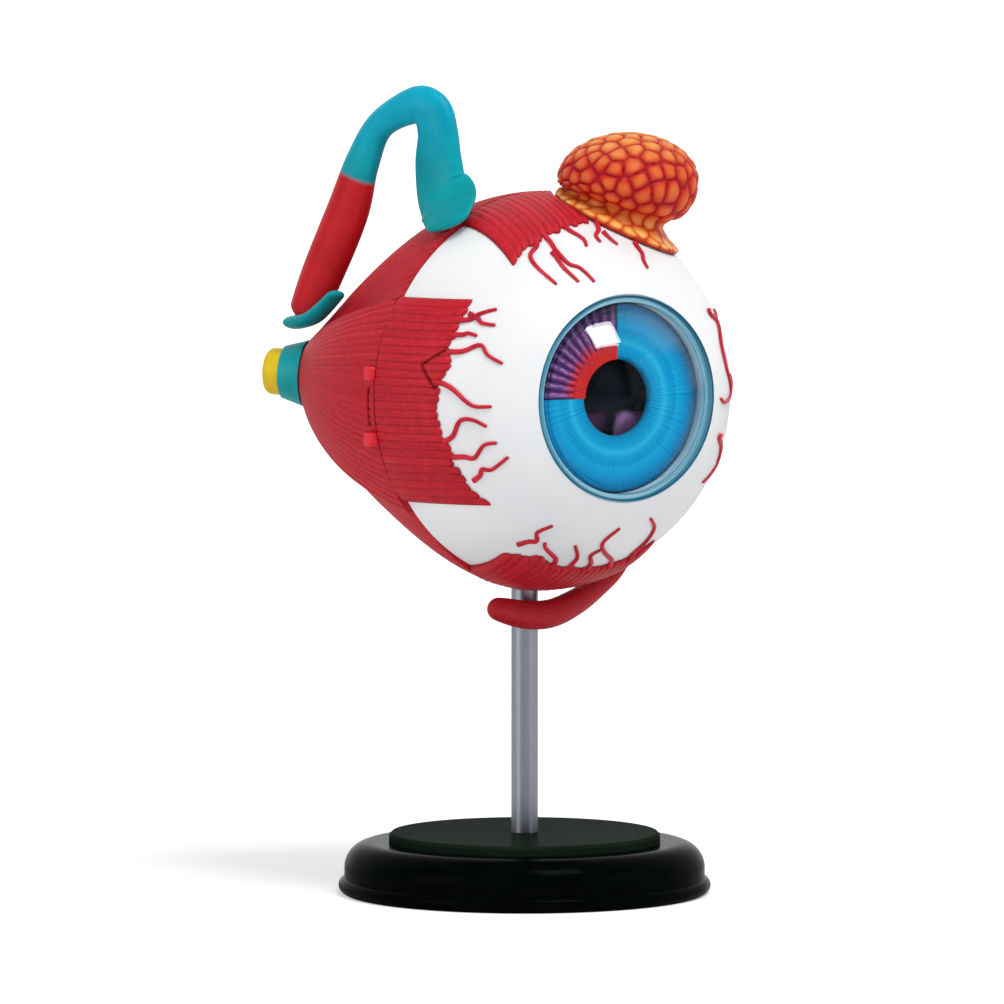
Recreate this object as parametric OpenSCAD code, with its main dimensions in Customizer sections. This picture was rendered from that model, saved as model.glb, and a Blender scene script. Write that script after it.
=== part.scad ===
// Take-apart model of a left human eye on a display stand, three times life size.
// Frame: origin under the rod, on the floor face of the base, +Z up. The eye looks
// along -Y; its nasal side is -X and its temporal side is +X.
// The globe opens at a seam near its equator. Clock angles are seen from the front:
// 0 up, 90 temporal, 180 down, 270 nasal.

/* [Stand] */
// Diameter over the bead round the foot of the base
base_d = 70; // [62:1:84]
// Height of the base moulding up to its flat top
base_h = 9.6; // [8.4:0.2:14]
// Height of the bead round the foot
bead_h = 3; // [2:0.2:3.6]
// Step from the bead in to the wall above it
bead_step = 1.1; // [0.6:0.1:1.4]
// Radius that rounds the shoulder of the base
shoulder_r = 4.8; // [3:0.2:5]
// Wall of the hollow base moulding
base_wall = 2; // [1.6:0.2:2.8]
// Thickness of the ribs under the base
base_rib_t = 1.6; // [1.2:0.2:2.4]
// Height by which the ribs stay clear of the floor
base_rib_lift = 1; // [0.6:0.2:2]
// Diameter of the raised disc on the base
disc_d = 51; // [40:1:54]
// Thickness of the raised disc
disc_h = 1.8; // [1.2:0.2:3]
// Width of the bevel round the top of the disc
disc_bevel = 0.5; // [0.2:0.1:0.8]
// Diameter of the rod
rod_d = 5; // [4:0.5:6]
// Wall round the rod in its sockets
socket_wall = 2.4; // [2:0.2:3]
// Solid floor under the rod in the base
socket_floor = 2; // [1:0.5:3]
// Depth of the rod's socket inside the globe
socket_depth = 6.5; // [5:0.5:7]
// Radial running clearance of the rod in its sockets
rod_fit = 0.05; // [0.02:0.01:0.1]

/* [Globe] */
// Diameter of the eyeball
globe_d = 72; // [68:1:78]
// Height of the globe's centre above the floor
globe_z = 94.8; // [86:0.2:110]
// Distance of the globe's centre in front of the rod
globe_y = 4.6; // [2:0.2:5]
// Wall of the rear half
sclera_t = 1.6; // [1.4:0.1:2]
// Step at the seam from the front half in to the rear half, which the muscles cover
rear_step = 1.6; // [0.8:0.1:1.8]
// Distance of the seam in front of the equator
seam_y = 2.5; // [1.5:0.5:4]
// Length of the tongue that locates the two halves
tongue_l = 1.5; // [1:0.1:2]
// Radial clearance of that tongue
tongue_fit = 0.1; // [0.05:0.05:0.2]
// Thickness of the choroid
choroid_t = 1; // [0.8:0.1:1.4]
// Thickness of the retina
retina_t = 0.8; // [0.6:0.1:1.2]
// Distance the retina reaches in front of the equator
retina_reach = 1; // [0:0.5:2]
// Gap between nested shells
nest_gap = 0.3; // [0.2:0.05:0.5]

/* [Front of the eye] */
// Diameter of the cornea over its flange
limbus_d = 37.9; // [35:0.1:38.5]
// Width of the cornea's flange
flange_w = 1.3; // [1:0.1:1.6]
// Thickness of the cornea's flange
flange_t = 1.1; // [0.8:0.1:1.3]
// Outer radius of the cornea's dome
dome_r = 23.4; // [22:0.2:28]
// Wall of the cornea's dome
dome_t = 1.2; // [0.8:0.1:1.4]
// Height of the wall that the iris sits in
collar_h = 3.2; // [3:0.1:3.4]
// Diameter of the iris
iris_d = 34.8; // [33:0.1:35]
// Thickness of the iris
iris_t = 1.2; // [1:0.1:1.4]
// Depth of the iris behind the limbus
iris_back = 2.3; // [2:0.1:2.6]
// Diameter of the pupil
pupil_d = 14.1; // [10:0.1:17]
// Width of the sphincter ring round the pupil
sphincter_w = 2.6; // [2:0.1:3.4]
// Number of fibres in the cut-away quarter of the iris
fibre_count = 9; // [6:1:12]
// Diameter of the lens
lens_d = 24; // [20:0.5:25]
// Radius of the lens's front face
lens_front_r = 20; // [18:0.5:30]
// Radius of the lens's rear face
lens_rear_r = 16; // [14:0.5:24]
// Depth of the ciliary body
ciliary_h = 6.2; // [5:0.1:7]
// Number of ciliary processes
ciliary_count = 36; // [24:1:48]

/* [Nerve] */
// Turn of the optic nerve towards the nose, from straight back
nerve_turn = 42; // [38:1:46]
// Rise of the optic nerve above the level
nerve_rise = 3; // [0:1:6]
// Diameter of the optic nerve
nerve_d = 8.8; // [7:0.2:9]
// Distance of the nerve's end from the globe's centre
nerve_end = 53; // [50:0.5:58]
// Distance of the tendinous ring from the globe's centre
ring_s = 45.1; // [44:0.1:47]
// Length of the tendinous ring
ring_l = 4.4; // [3:0.2:5]
// Diameter of the tendinous ring at its wide front
ring_d = 12.6; // [12:0.2:14]

/* [Muscles] */
// Thickness of the muscles where they cross the seam
strap_t = 1.4; // [1.2:0.1:2]
// Thickness of the insertions at their ragged front
frayed_t = 0.7; // [0.5:0.1:1]
// Thickness of the straight muscles at the ring
strap_end_t = 1.5; // [1.2:0.1:1.6]
// Width of one rib of muscle fibre
rib_w = 2.2; // [1.6:0.1:3]
// Height of the ribs
rib_h = 0.3; // [0.1:0.05:0.4]
// Length by which alternate fibres of a ragged edge fall short
fray_l = 0.5; // [0:0.1:1]
// Gap that keeps a muscle clear of what lies under it
lay_gap = 0.3; // [0.2:0.05:0.5]
// Side of the two square studs on the medial rectus
stud_w = 2.6; // [2:0.2:3.2]
// Height of those studs above the muscle
stud_h = 0.7; // [0.4:0.1:1]

/* [Gland] */
// Diameter of the lacrimal gland over its skirt
gland_d = 26.6; // [22:0.2:27]
// Height of the gland over the globe
gland_h = 16; // [12:0.5:17]
// Height of the gland's widest place, as measured from the globe
gland_belly = 7; // [5:0.5:8]
// Angle by which the gland bends back to stand upright
gland_lean = 25; // [5:1:28]
// Share by which the gland's waist is filled on its nasal side
gland_fill = 0.8; // [0:0.1:1]
// Height of the lobes
lobe_h = 0.8; // [0.4:0.1:1]
// Spacing of the lobes
lobe_w = 3.6; // [3:0.2:5]

/* [Vessels] */
// Width of a vessel at its root
vessel_w = 1.3; // [0.8:0.1:1.6]
// Height of a vessel over the sclera
vessel_h = 0.7; // [0.4:0.1:0.9]

/* [Hidden] */
$fn = 96;

// A cut runs this far past the faces that it goes through
over = 1;
globe_r = globe_d / 2;
rod_r = rod_d / 2;
bore_r = rod_r + rod_fit;
boss_r = bore_r + socket_wall;
base_r = base_d / 2;
wall_r = base_r - bead_step;
rear_r = globe_r - rear_step;
sclera_in = rear_r - sclera_t;
choroid_out = sclera_in - nest_gap;
choroid_in = choroid_out - choroid_t;
retina_out = choroid_in - nest_gap;
retina_in = retina_out - retina_t;
vitreous_r = retina_in - nest_gap;
tongue_r = sclera_in + sclera_t * 0.4;
// Height of the socket's roof inside the globe, from the globe's centre
boss_top = -globe_r + socket_depth;
socket_roof = 1;

// Depths along the line of sight, from the globe's centre forwards
limbus_r = limbus_d / 2;
limbus_y = sqrt(pow(globe_r, 2) - pow(limbus_r, 2));
flange_back = limbus_y - flange_t + nest_gap;
rebate_y = flange_back - tongue_fit;
collar_r = iris_d / 2 + nest_gap;
iris_front = rebate_y - iris_back;
iris_rear = iris_front - iris_t;
ciliary_front = iris_rear - tongue_fit;
ciliary_rear = ciliary_front - ciliary_h;
lens_r = lens_d / 2;
lens_front_sag = lens_front_r - sqrt(pow(lens_front_r, 2) - pow(lens_r, 2));
lens_rear_sag = lens_rear_r - sqrt(pow(lens_rear_r, 2) - pow(lens_r, 2));
lens_y = iris_rear - 4 * nest_gap - lens_front_sag;
vitreous_front = ciliary_rear - nest_gap;

// The optic nerve's direction, and the two directions across it: up, and to the nose's side
nerve_dir = [
    -sin(nerve_turn) * cos(nerve_rise), cos(nerve_turn) * cos(nerve_rise), sin(nerve_rise)
];
nerve_up = unit([0, 0, 1] - nerve_dir[2] * nerve_dir);
nerve_side = cross(nerve_up, nerve_dir);
nerve_r = nerve_d / 2;
ring_r = ring_d / 2;
// Radius of the muscles where they end in front of the ring, and the place where they do
bundle_r = ring_r + 0.1;
bundle_s = ring_s - lay_gap;

// Clock angles where each straight muscle's two edges cross the seam, and where they
// reach the ring, there counted round the nerve from its top
medial_seam = [234, 299];
medial_ring = [141, 40];
superior_seam = [302, 390];
superior_ring = [33, -32];
lateral_seam = [56, 123];
lateral_ring = [316, 224];
inferior_seam = [134, 231];
inferior_ring = [214, 154];
// How late the outer and the inner face of a muscle leave the globe
fan_rise = [1.5, 3];
flat_rise = [5, 6.5];

// Ragged front edge of each insertion: place across the muscle, reach in front of the equator
medial_edge = [
    [-19.5, 20.4], [-14.8, 18.5], [-8.8, 17.9], [-3.2, 16.7], [1.9, 16.9], [7, 19], [9.2, 18],
    [18.4, 18.4]
];
superior_edge = [[-18, 20.6], [-14.4, 19.2], [-7.9, 18.6], [-1.6, 18], [4.3, 15.7], [18, 18]];
lateral_edge = [[-16, 9.5], [-9, 10.8], [-2, 9.2], [6, 10.6], [16, 10]];
inferior_edge = [[-13.5, 20.4], [-9, 17.5], [-1, 17], [7.6, 17.2], [11.2, 18.5], [16.6, 14.5]];

// Routes through the middle of the oblique muscles, from the globe's centre: place,
// width and thickness
superior_route = [
    [-30.5, 34.2, 12.4, 7.2, 5.6], [-28.8, 30.3, 21, 8.8, 6.6], [-26.5, 24.8, 33, 9, 6.4],
    [-25.2, 21.6, 42.2, 7.2, 5.6], [-23.6, 17.6, 49.4, 5.8, 5.2], [-20.8, 10, 53.2, 7.2, 5.2],
    [-19.3, 6.4, 52, 8.6, 5.2], [-18.8, 5.1, 48.2, 9, 5], [-18.6, 5.1, 42.6, 10.8, 4.4],
    [-18.8, 3.7, 37.8, 11.6, 3.6], [-19.7, -0.2, 34.8, 12.4, 2.8], [-22.7, -4.1, 31, 8, 2]
];
// Places along that route where the muscle passes into its tendon, and where the tendon
// begins to turn flat to the globe
tendon_start = 2.7;
foot_start = 8;
origin_route = [
    [-32, 36.6, 11.8, 6, 3], [-31.7, 28.8, 13.2, 5.2, 2.6], [-30.8, 21, 18.2, 4.2, 2]
];
inferior_route = [
    [-13, -3.6, -39.7, 3.6, 3.8], [-9.4, -3.2, -40.7, 5, 5], [-4, -2.7, -41.8, 5.4, 5.6],
    [1.2, -2.4, -41.8, 5.4, 5.6], [7, -0.8, -40.4, 5.4, 5.2], [13, 1.7, -38.2, 5.6, 4.4],
    [19.7, 5.2, -34.8, 6.2, 3.6], [25.4, 9.6, -29, 6.4, 3], [28.8, 13.6, -23.6, 5.6, 2.2]
];

// Direction of the lacrimal gland from the globe's centre
gland_dir = unit([0.33, -0.27, 0.905]);

// Vessels on the front of the globe: angle from the line of sight and clock angle of each bend
vessels = [
    [[58, 299], [56, 302], [52, 306]], [[56, 300], [54, 299], [50, 300]],
    [[58.5, 293], [57, 294], [54, 294]], [[58, 287], [56, 288], [52, 291], [49, 288], [44, 286]],
    [[60, 275], [57, 273], [54, 270], [51, 268], [46, 268]],
    [[59, 258], [56, 263], [52, 263], [48, 260]], [[57, 250], [54, 249], [50, 253], [46, 253]],
    [[54.5, 242], [53, 244], [50, 243], [44, 246]],
    [[58, 336], [56, 331], [51, 329], [43, 329]], [[57, 341], [53, 340], [47, 340], [44, 343], [38, 345]],
    [[51, 338], [46, 337], [40, 338]], [[58.5, 351], [54, 353], [51, 352]],
    [[58, 2], [55, -1], [52, -1]], [[54, 4], [51, 6]],
    [[51.5, 15.5], [49, 16.5], [46, 16], [43, 17]],
    [[48, 57], [52, 63], [46, 69], [45, 75], [46, 81], [51, 90], [42, 94], [37, 92]],
    [[70, 66], [61, 62], [52, 63]], [[72, 84], [61, 86], [51, 90]], [[70, 113], [63, 112], [55, 117]],
    [[42, 110], [49, 112], [55, 117], [53, 121], [47, 129]],
    [[57, 209], [55, 207], [52, 210], [47, 208]], [[59, 195], [56, 202], [54, 204]],
    [[60, 187], [56, 188], [51, 193]], [[59.5, 180], [55, 183], [52, 181]],
    [[59, 172], [49, 182], [42, 178]], [[58, 162], [53, 159], [47, 158], [41, 162]]
];

function unit(v) = v / norm(v);
function mix(a, b, t) = a + (b - a) * t;

// Direction a share t of the way from one direction to another, along the great circle
function between(a, b, t) =
    let (angle = acos(a * b))
    (sin((1 - t) * angle) * a + sin(t * angle) * b) / sin(angle);

// Smooth curve through a list of points; t counts points
function curve(points, t) =
    let (
        last = len(points) - 1,
        i = min(floor(t), last - 1),
        s = t - i,
        p = [for (k = [-1:2]) points[max(0, min(last, i + k))]]
    )
    0.5 * (2 * p[1] + (p[2] - p[0]) * s + (2 * p[0] - 5 * p[1] + 4 * p[2] - p[3]) * s * s
        + (3 * p[1] - p[0] - 3 * p[2] + p[3]) * s * s * s);

// Moves a form from the globe's centre to its place over the stand
module at_globe() translate([0, -globe_y, globe_z]) children();

// As at_globe, with the line of sight along the form's own Z axis
module looking() at_globe() rotate([90, 0, 0]) children();

// Turns a form's Z axis into a direction from the globe's centre
module along(direction)
    at_globe()
        rotate([0, acos(direction[2]), atan2(direction[1], direction[0])]) children();

// Hollow sphere
module shell(outer, inner) {
    difference() {
        sphere(outer);
        sphere(inner);
    }
}

// The part of a form that lies in front of a depth along the line of sight
module ahead_of(depth) {
    intersection() {
        children();
        translate([0, 0, depth]) cylinder(h = globe_d, r = globe_d);
    }
}

// The part of a form that lies behind that depth
module behind(depth) {
    intersection() {
        children();
        translate([0, 0, depth - 2 * globe_d]) cylinder(h = 2 * globe_d, r = globe_d);
    }
}

// Tube along the line of sight
module tube(outer, inner, from, to) {
    difference() {
        translate([0, 0, from]) cylinder(h = to - from, r = outer);
        translate([0, 0, from - over]) cylinder(h = to - from + 2 * over, r = inner);
    }
}

function quad(a, b, c, d) = [[a, b, c], [a, c, d]];

// Closed skin between two grids of points of one size; each row of a grid is a list
module skin(top, bottom) {
    rows = len(top);
    columns = len(top[0]);
    under = rows * columns;
    strip = [for (i = [0:rows - 2], j = [0:columns - 2]) i * columns + j];
    upper = [for (k = strip) each quad(k, k + columns, k + columns + 1, k + 1)];
    lower = [for (k = strip) each quad(under + k, under + k + 1, under + k + columns + 1, under + k + columns)];
    last = (rows - 1) * columns;
    ends = [
        for (j = [0:columns - 2]) each concat(
            quad(j, j + 1, under + j + 1, under + j),
            quad(last + j + 1, last + j, under + last + j, under + last + j + 1))
    ];
    sides = [
        for (i = [0:rows - 2]) let (k = i * columns, m = k + columns - 1) each concat(
            quad(k + columns, k, under + k, under + k + columns),
            quad(m, m + columns, under + m + columns, under + m))
    ];
    polyhedron(
        points = concat([for (row = top) each row], [for (row = bottom) each row]),
        faces = concat(upper, lower, ends, sides));
}

// Closed skin over a list of rings with equally many points each
module loft(rings) {
    n = len(rings[0]);
    last = (len(rings) - 1) * n;
    walls = [
        for (i = [0:len(rings) - 2], j = [0:n - 1])
            let (k = (j + 1) % n)
            each quad(i * n + j, i * n + k, (i + 1) * n + k, (i + 1) * n + j)
    ];
    first_cap = [for (j = [1:n - 2]) [0, j + 1, j]];
    last_cap = [for (j = [1:n - 2]) [last, last + j, last + j + 1]];
    polyhedron(
        points = [for (ring = rings) each ring],
        faces = concat(walls, first_cap, last_cap));
}

// Rod-like form of oval section along a smooth route of [x, y, z, width, thickness],
// from one place along it to another; its width lies across the direction side, which
// turns to end_side from the place turn_from on
module swept(route, from, to, side, steps = 14, corners = 12, end_side, turn_from = 0) {
    dt = 0.01;
    last = len(route) - 1;
    loft([
        for (i = [0:steps])
            let (
                t = mix(from, to, i / steps),
                here = curve(route, t),
                ahead = curve(route, min(last, t + dt)) - curve(route, max(0, t - dt)),
                run = unit([ahead[0], ahead[1], ahead[2]]),
                turned = max(0, (t - turn_from) / (last - turn_from)),
                lean = is_undef(end_side) ? side : mix(side, end_side, turned),
                thick = unit(lean - (lean * run) * run),
                wide = cross(run, thick)
            )
            [
                for (j = [0:corners - 1])
                    let (a = 360 * j / corners)
                    [here[0], here[1], here[2]]
                        + wide * (cos(a) * here[3] / 2) + thick * (sin(a) * here[4] / 2)
            ]
    ]);
}

// Point of a straight muscle's face behind the seam: seam clock, ring clock, share of the
// way to the ring, radius over the seam, radius round the nerve and lateness of its rise
function strap_pt(seam, ring, t, radius, end_r, rise) =
    let (
        y = -seam_y + lay_gap / 2,
        across = sqrt(radius * radius - y * y),
        a = [across * sin(seam), y, across * cos(seam)],
        b = bundle_s * nerve_dir + end_r * (cos(ring) * nerve_up + sin(ring) * nerve_side)
    )
    mix(norm(a), norm(b), pow(t, rise)) * between(unit(a), unit(b), t);

// Ribbed fan of muscle from the seam to the ring. The share "thinned" of its height over the
// globe goes at its two edges, and the share "hollow" on the way to the ring.
module strap(seam, ring, rise, thinned = 0.9, hollow = 0.3, rows = 8) {
    width = globe_r * abs(seam[1] - seam[0]) * PI / 180;
    columns = 2 * round(width / rib_w);
    turn = max([for (c = [seam[0], (seam[0] + seam[1]) / 2, seam[1]]) acos([sin(c), 0, cos(c)] * nerve_dir)]);
    sag = rear_r * (1 - cos(turn / (2 * rows)));
    under = rear_r + lay_gap + sag;
    end_r = bundle_r - strap_end_t;
    function face(radius, end_t, rise, rib) = [
        for (i = [0:rows])
            let (t = i / rows, left = 1 - hollow * sin(min(180, 225 * t)))
            [
                for (j = [0:columns])
                    let (s = j / columns, full = 1 - thinned * pow(2 * s - 1, 2))
                    strap_pt(mix(seam[0], seam[1], s), mix(ring[0], ring[1], s), t,
                        mix(under, radius, max(0.2, full * left)) + rib * (j % 2), end_r + end_t * full, rise)
            ]
    ];
    at_globe()
        skin(face(globe_r + strap_t, strap_end_t, rise[0], rib_h), face(under, 0, rise[1], 0));
}

// Ribbed insertion of a straight muscle on the front half: clock angle of its middle and its edge
module insertion(clock, edge, rows = 4) {
    start = seam_y + lay_gap / 2;
    from = edge[0][0];
    to = edge[len(edge) - 1][0];
    columns = 2 * round((to - from) / rib_w);
    function face(at_seam, at_edge, rib) = [
        for (i = [0:rows])
            [
                for (j = [0:columns])
                    let (
                        u = mix(from, to, j / columns),
                        v = mix(start, lookup(u, edge) - fray_l * (j % 2), i / rows),
                        r = globe_r + mix(at_seam, at_edge, i / rows) + rib * (j % 2)
                    )
                    [u, -v, sqrt(r * r - u * u - v * v)]
            ]
    ];
    at_globe()
        rotate([0, clock, 0])
            skin(face(lay_gap, lay_gap, 0), face(strap_t, frayed_t, rib_h));
}

// Hollow plinth with a beaded foot, ribs and the rod's blind socket
module stand_base() color([0.03, 0.03, 0.035]) {
    pocket_r = wall_r - base_wall;
    difference() {
        union() {
            cylinder(h = bead_h, r = base_r - bead_h / 2);
            translate([0, 0, bead_h / 2])
                rotate_extrude() translate([base_r - bead_h / 2, 0]) circle(d = bead_h);
            cylinder(h = base_h - shoulder_r, r = wall_r);
            cylinder(h = base_h, r = wall_r - shoulder_r);
            translate([0, 0, base_h - shoulder_r])
                rotate_extrude() translate([wall_r - shoulder_r, 0]) circle(r = shoulder_r);
        }
        difference() {
            translate([0, 0, -over])
                cylinder(h = base_h - base_wall + over, r = pocket_r - shoulder_r + base_wall);
            base_ribs();
            cylinder(h = base_h, r = boss_r);
        }
        difference() {
            translate([0, 0, -over]) cylinder(h = base_h - shoulder_r + over, r = pocket_r);
            base_ribs();
            cylinder(h = base_h, r = boss_r);
        }
        translate([0, 0, socket_floor]) cylinder(h = base_h, r = bore_r);
    }
}

// Two crossed ribs under the base, clear of the floor
module base_ribs() {
    for (a = [0, 90])
        rotate(a)
            translate([-wall_r, -base_rib_t / 2, base_rib_lift])
                cube([2 * wall_r, base_rib_t, base_h]);
}

// Raised disc on the base, with a bevelled rim and the rod's hole
module stand_disc() color([0.1, 0.12, 0.11]) {
    difference() {
        translate([0, 0, base_h]) {
            cylinder(h = disc_h - disc_bevel, d = disc_d);
            translate([0, 0, disc_h - disc_bevel])
                cylinder(h = disc_bevel, d1 = disc_d, d2 = disc_d - 2 * disc_bevel);
        }
        cylinder(h = base_h + disc_h + over, r = bore_r);
    }
}

// Rod from the floor of the base's socket to the roof of the globe's
module stand_rod() color([0.72, 0.73, 0.75]) {
    bottom = socket_floor + tongue_fit;
    top = globe_z + boss_top - socket_roof - tongue_fit;
    translate([0, 0, bottom]) cylinder(h = top - bottom, r = rod_r);
}

// Round hole for the optic nerve, in the globe's own frame
module nerve_hole(clearance) {
    rotate([0, acos(nerve_dir[2]), atan2(nerve_dir[1], nerve_dir[0])])
        cylinder(h = globe_d, r = nerve_r + clearance);
}

// White rear half with the locating tongue, the rod's socket and the nerve's hole
module sclera_rear() color([0.95, 0.94, 0.92]) {
    difference() {
        union() {
            looking() behind(seam_y) shell(rear_r, sclera_in);
            looking()
                tube(tongue_r, sclera_in - tongue_fit, seam_y - over, seam_y + tongue_l);
            intersection() {
                at_globe() sphere(rear_r);
                translate([0, 0, globe_z - globe_r]) cylinder(h = socket_depth, r = boss_r);
            }
        }
        cylinder(h = globe_z + boss_top - socket_roof, r = bore_r);
        at_globe() nerve_hole(rod_fit);
    }
}

// White front half with the cornea's rebate and the collar that holds the iris
module sclera_front() color([0.96, 0.95, 0.93]) looking() {
    difference() {
        union() {
            ahead_of(seam_y) shell(globe_r, sclera_in);
            intersection() {
                sphere(globe_r - sclera_t);
                translate([0, 0, rebate_y - collar_h])
                    cylinder(h = collar_h, r = collar_r + 3);
            }
        }
        cylinder(h = globe_r, r = collar_r);
        translate([0, 0, rebate_y]) cylinder(h = globe_r, r = limbus_r + nest_gap);
        cylinder(h = seam_y + tongue_l + tongue_fit, r = tongue_r + tongue_fit);
    }
}

// Vascular coat inside the rear half
module choroid_rear() color([0.62, 0.16, 0.12]) {
    difference() {
        looking() behind(seam_y - nest_gap) shell(choroid_out, choroid_in);
        translate([0, 0, globe_z - globe_r]) cylinder(h = 2 * socket_depth, r = boss_r + nest_gap);
        at_globe() nerve_hole(rod_fit);
    }
}

// Vascular coat inside the front half, up to the ciliary body
module choroid_front() color([0.62, 0.16, 0.12]) looking() {
    behind(ciliary_rear) ahead_of(seam_y + nest_gap) shell(choroid_out, choroid_in);
}

// Room that the rod's socket needs when an inner piece is drawn forwards over it
module socket_slot() {
    slot_r = boss_r + nest_gap;
    top = globe_z + boss_top + nest_gap;
    translate([0, 0, top - globe_r]) cylinder(h = globe_r, r = slot_r);
    translate([-slot_r, 0, top - globe_r]) cube([2 * slot_r, globe_r, globe_r]);
}

// Light-sensitive inner cup
module retina() color([0.93, 0.6, 0.32]) {
    difference() {
        looking() behind(retina_reach) shell(retina_out, retina_in);
        socket_slot();
    }
}

// Clear body that fills the globe, dished for the lens
module vitreous_body() color([0.85, 0.92, 0.95, 0.5]) {
    difference() {
        looking()
            difference() {
                behind(vitreous_front) sphere(vitreous_r);
                translate([0, 0, lens_y - lens_rear_sag + lens_rear_r]) sphere(lens_rear_r + nest_gap);
            }
        socket_slot();
    }
}

// Lens with a flatter front face
module lens() color([0.9, 0.93, 0.95, 0.6]) looking() {
    intersection() {
        translate([0, 0, lens_y + lens_front_sag - lens_front_r]) sphere(lens_front_r);
        translate([0, 0, lens_y - lens_rear_sag + lens_rear_r]) sphere(lens_rear_r);
    }
}

// Ring with radial processes that holds the lens behind the iris
module ciliary_body() color([0.45, 0.2, 0.16]) looking() {
    process_h = 1;
    process_t = 0.7;
    inner = lens_r + 2 * nest_gap;
    rim = sqrt(pow(choroid_in, 2) - pow(ciliary_front, 2)) - nest_gap;
    difference() {
        union() {
            intersection() {
                sphere(choroid_in - nest_gap);
                translate([0, 0, ciliary_rear])
                    cylinder(h = ciliary_h - process_h, r = choroid_in);
            }
            for (i = [0:ciliary_count - 1])
                rotate(360 * i / ciliary_count)
                    translate([inner - over, -process_t / 2, ciliary_front - process_h - over])
                        cube([rim - inner + over, process_t, process_h + over]);
        }
        translate([0, 0, ciliary_rear - over]) cylinder(h = ciliary_h + 2 * over, r = inner);
    }
}

// Quarter of the iris between noon and nine o'clock, seen from the front
module nasal_quarter(inset) {
    translate([-globe_r, inset, 0]) cube([globe_r - inset, globe_r, globe_r]);
}

// Coloured diaphragm with the pupil, cut away in its upper nasal quarter
module iris() color([0.1, 0.45, 0.7]) looking() {
    bevel = iris_t / 2;
    difference() {
        translate([0, 0, iris_rear]) cylinder(h = iris_t, d = iris_d);
        translate([0, 0, iris_rear - over]) cylinder(h = iris_t + 2 * over, d = pupil_d);
        translate([0, 0, iris_front - bevel])
            cylinder(h = bevel + tongue_fit, d1 = pupil_d, d2 = pupil_d + 2 * bevel);
        nasal_quarter(0);
    }
}

// Sphincter ring and radial dilator fibres that show in the cut-away quarter
module iris_muscles() color([0.62, 0.12, 0.24]) looking() {
    plate_t = iris_t / 2;
    fibre_t = iris_t / 3;
    ring_out = pupil_d / 2 + sphincter_w;
    intersection() {
        union() {
            tube(iris_d / 2, pupil_d / 2, iris_rear, iris_rear + plate_t);
            tube(ring_out, pupil_d / 2, iris_rear, iris_front);
            for (i = [0:fibre_count - 1])
                rotate(90 + 90 * (i + 0.5) / fibre_count)
                    translate([ring_out - over, -fibre_t, iris_rear])
                        cube([iris_d / 2 - ring_out, 2 * fibre_t, plate_t + fibre_t]);
        }
        nasal_quarter(tongue_fit);
    }
}

// Clear dome with a flat flange
module cornea() color([0.85, 0.93, 0.97, 0.35]) looking() {
    foot_r = limbus_r - flange_w;
    flange_front = flange_back + flange_t;
    centre = flange_front - sqrt(dome_r * dome_r - foot_r * foot_r);
    tube(limbus_r, foot_r - dome_t, flange_back, flange_front);
    translate([0, 0, centre])
        ahead_of(flange_front - centre) shell(dome_r, dome_r - dome_t);
}

// Optic nerve with a rounded cut end
module optic_nerve() color([0.95, 0.8, 0.1]) along(nerve_dir) {
    start = choroid_in + nest_gap;
    round_r = 1.4;
    translate([0, 0, start]) cylinder(h = nerve_end - round_r - start, r = nerve_r);
    translate([0, 0, start]) cylinder(h = nerve_end - start, r = nerve_r - round_r);
    translate([0, 0, nerve_end - round_r])
        rotate_extrude() translate([nerve_r - round_r, 0]) circle(r = round_r);
}

// Flared collar on the nerve, where the muscles come together
module tendinous_ring() color([0.1, 0.6, 0.58]) along(nerve_dir) {
    difference() {
        translate([0, 0, ring_s]) cylinder(h = ring_l, r1 = ring_r, r2 = nerve_r + 0.6);
        cylinder(h = nerve_end, r = nerve_r + rod_fit);
    }
}

// Rear fan of the medial rectus, with two studs and the slit between them
module medial_rectus() color([0.8, 0.1, 0.16]) {
    stud_y = -globe_y - seam_y + lay_gap / 2;
    surface = -globe_r - strap_t;
    difference() {
        union() {
            strap(medial_seam, medial_ring, fan_rise, 0.15, 0, 6);
            for (z = [4.3, -7.9])
                translate([surface - stud_h, stud_y, globe_z + z - stud_w / 2])
                    cube([strap_t + stud_h, stud_w, stud_w]);
        }
        translate([surface - stud_h, stud_y + stud_w / 2, globe_z - 5.6])
            cube([stud_h + strap_t / 2, 1, 7.6]);
    }
}

module medial_rectus_insertion() color([0.8, 0.1, 0.16]) insertion(270, medial_edge);

module lateral_rectus() color([0.8, 0.1, 0.16])
    strap(lateral_seam, lateral_ring, flat_rise, 0.9, 0.3, 10);

module lateral_rectus_insertion() color([0.8, 0.1, 0.16]) insertion(90, lateral_edge);

// Room for the skirt of the gland
module gland_seat() along(gland_dir) cylinder(h = globe_d, r = gland_d / 2 + lay_gap, $fn = 48);

// Rear fan of the superior rectus, cut out round the gland
module superior_rectus() color([0.8, 0.1, 0.16]) {
    difference() {
        strap(superior_seam, superior_ring, flat_rise);
        gland_seat();
    }
}

// Insertion of the superior rectus, cut out round the gland
module superior_rectus_insertion() color([0.8, 0.1, 0.16]) {
    difference() {
        insertion(0, superior_edge);
        gland_seat();
    }
}

// Rear fan of the inferior rectus, which the rod passes through
module inferior_rectus() color([0.8, 0.1, 0.16]) {
    difference() {
        strap(inferior_seam, inferior_ring, flat_rise, 0.9, 0.75, 9);
        translate([0, 0, globe_z - globe_d]) cylinder(h = globe_d, r = bore_r + lay_gap, $fn = 32);
    }
}

module inferior_rectus_insertion() color([0.8, 0.1, 0.16]) insertion(180, inferior_edge);

// Belly of the superior oblique, from its origin to the tendon
module superior_oblique() color([0.78, 0.1, 0.16]) oblique_belly();

module oblique_belly() at_globe() swept(superior_route, 0, tendon_start, loop_normal(), 8);

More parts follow.
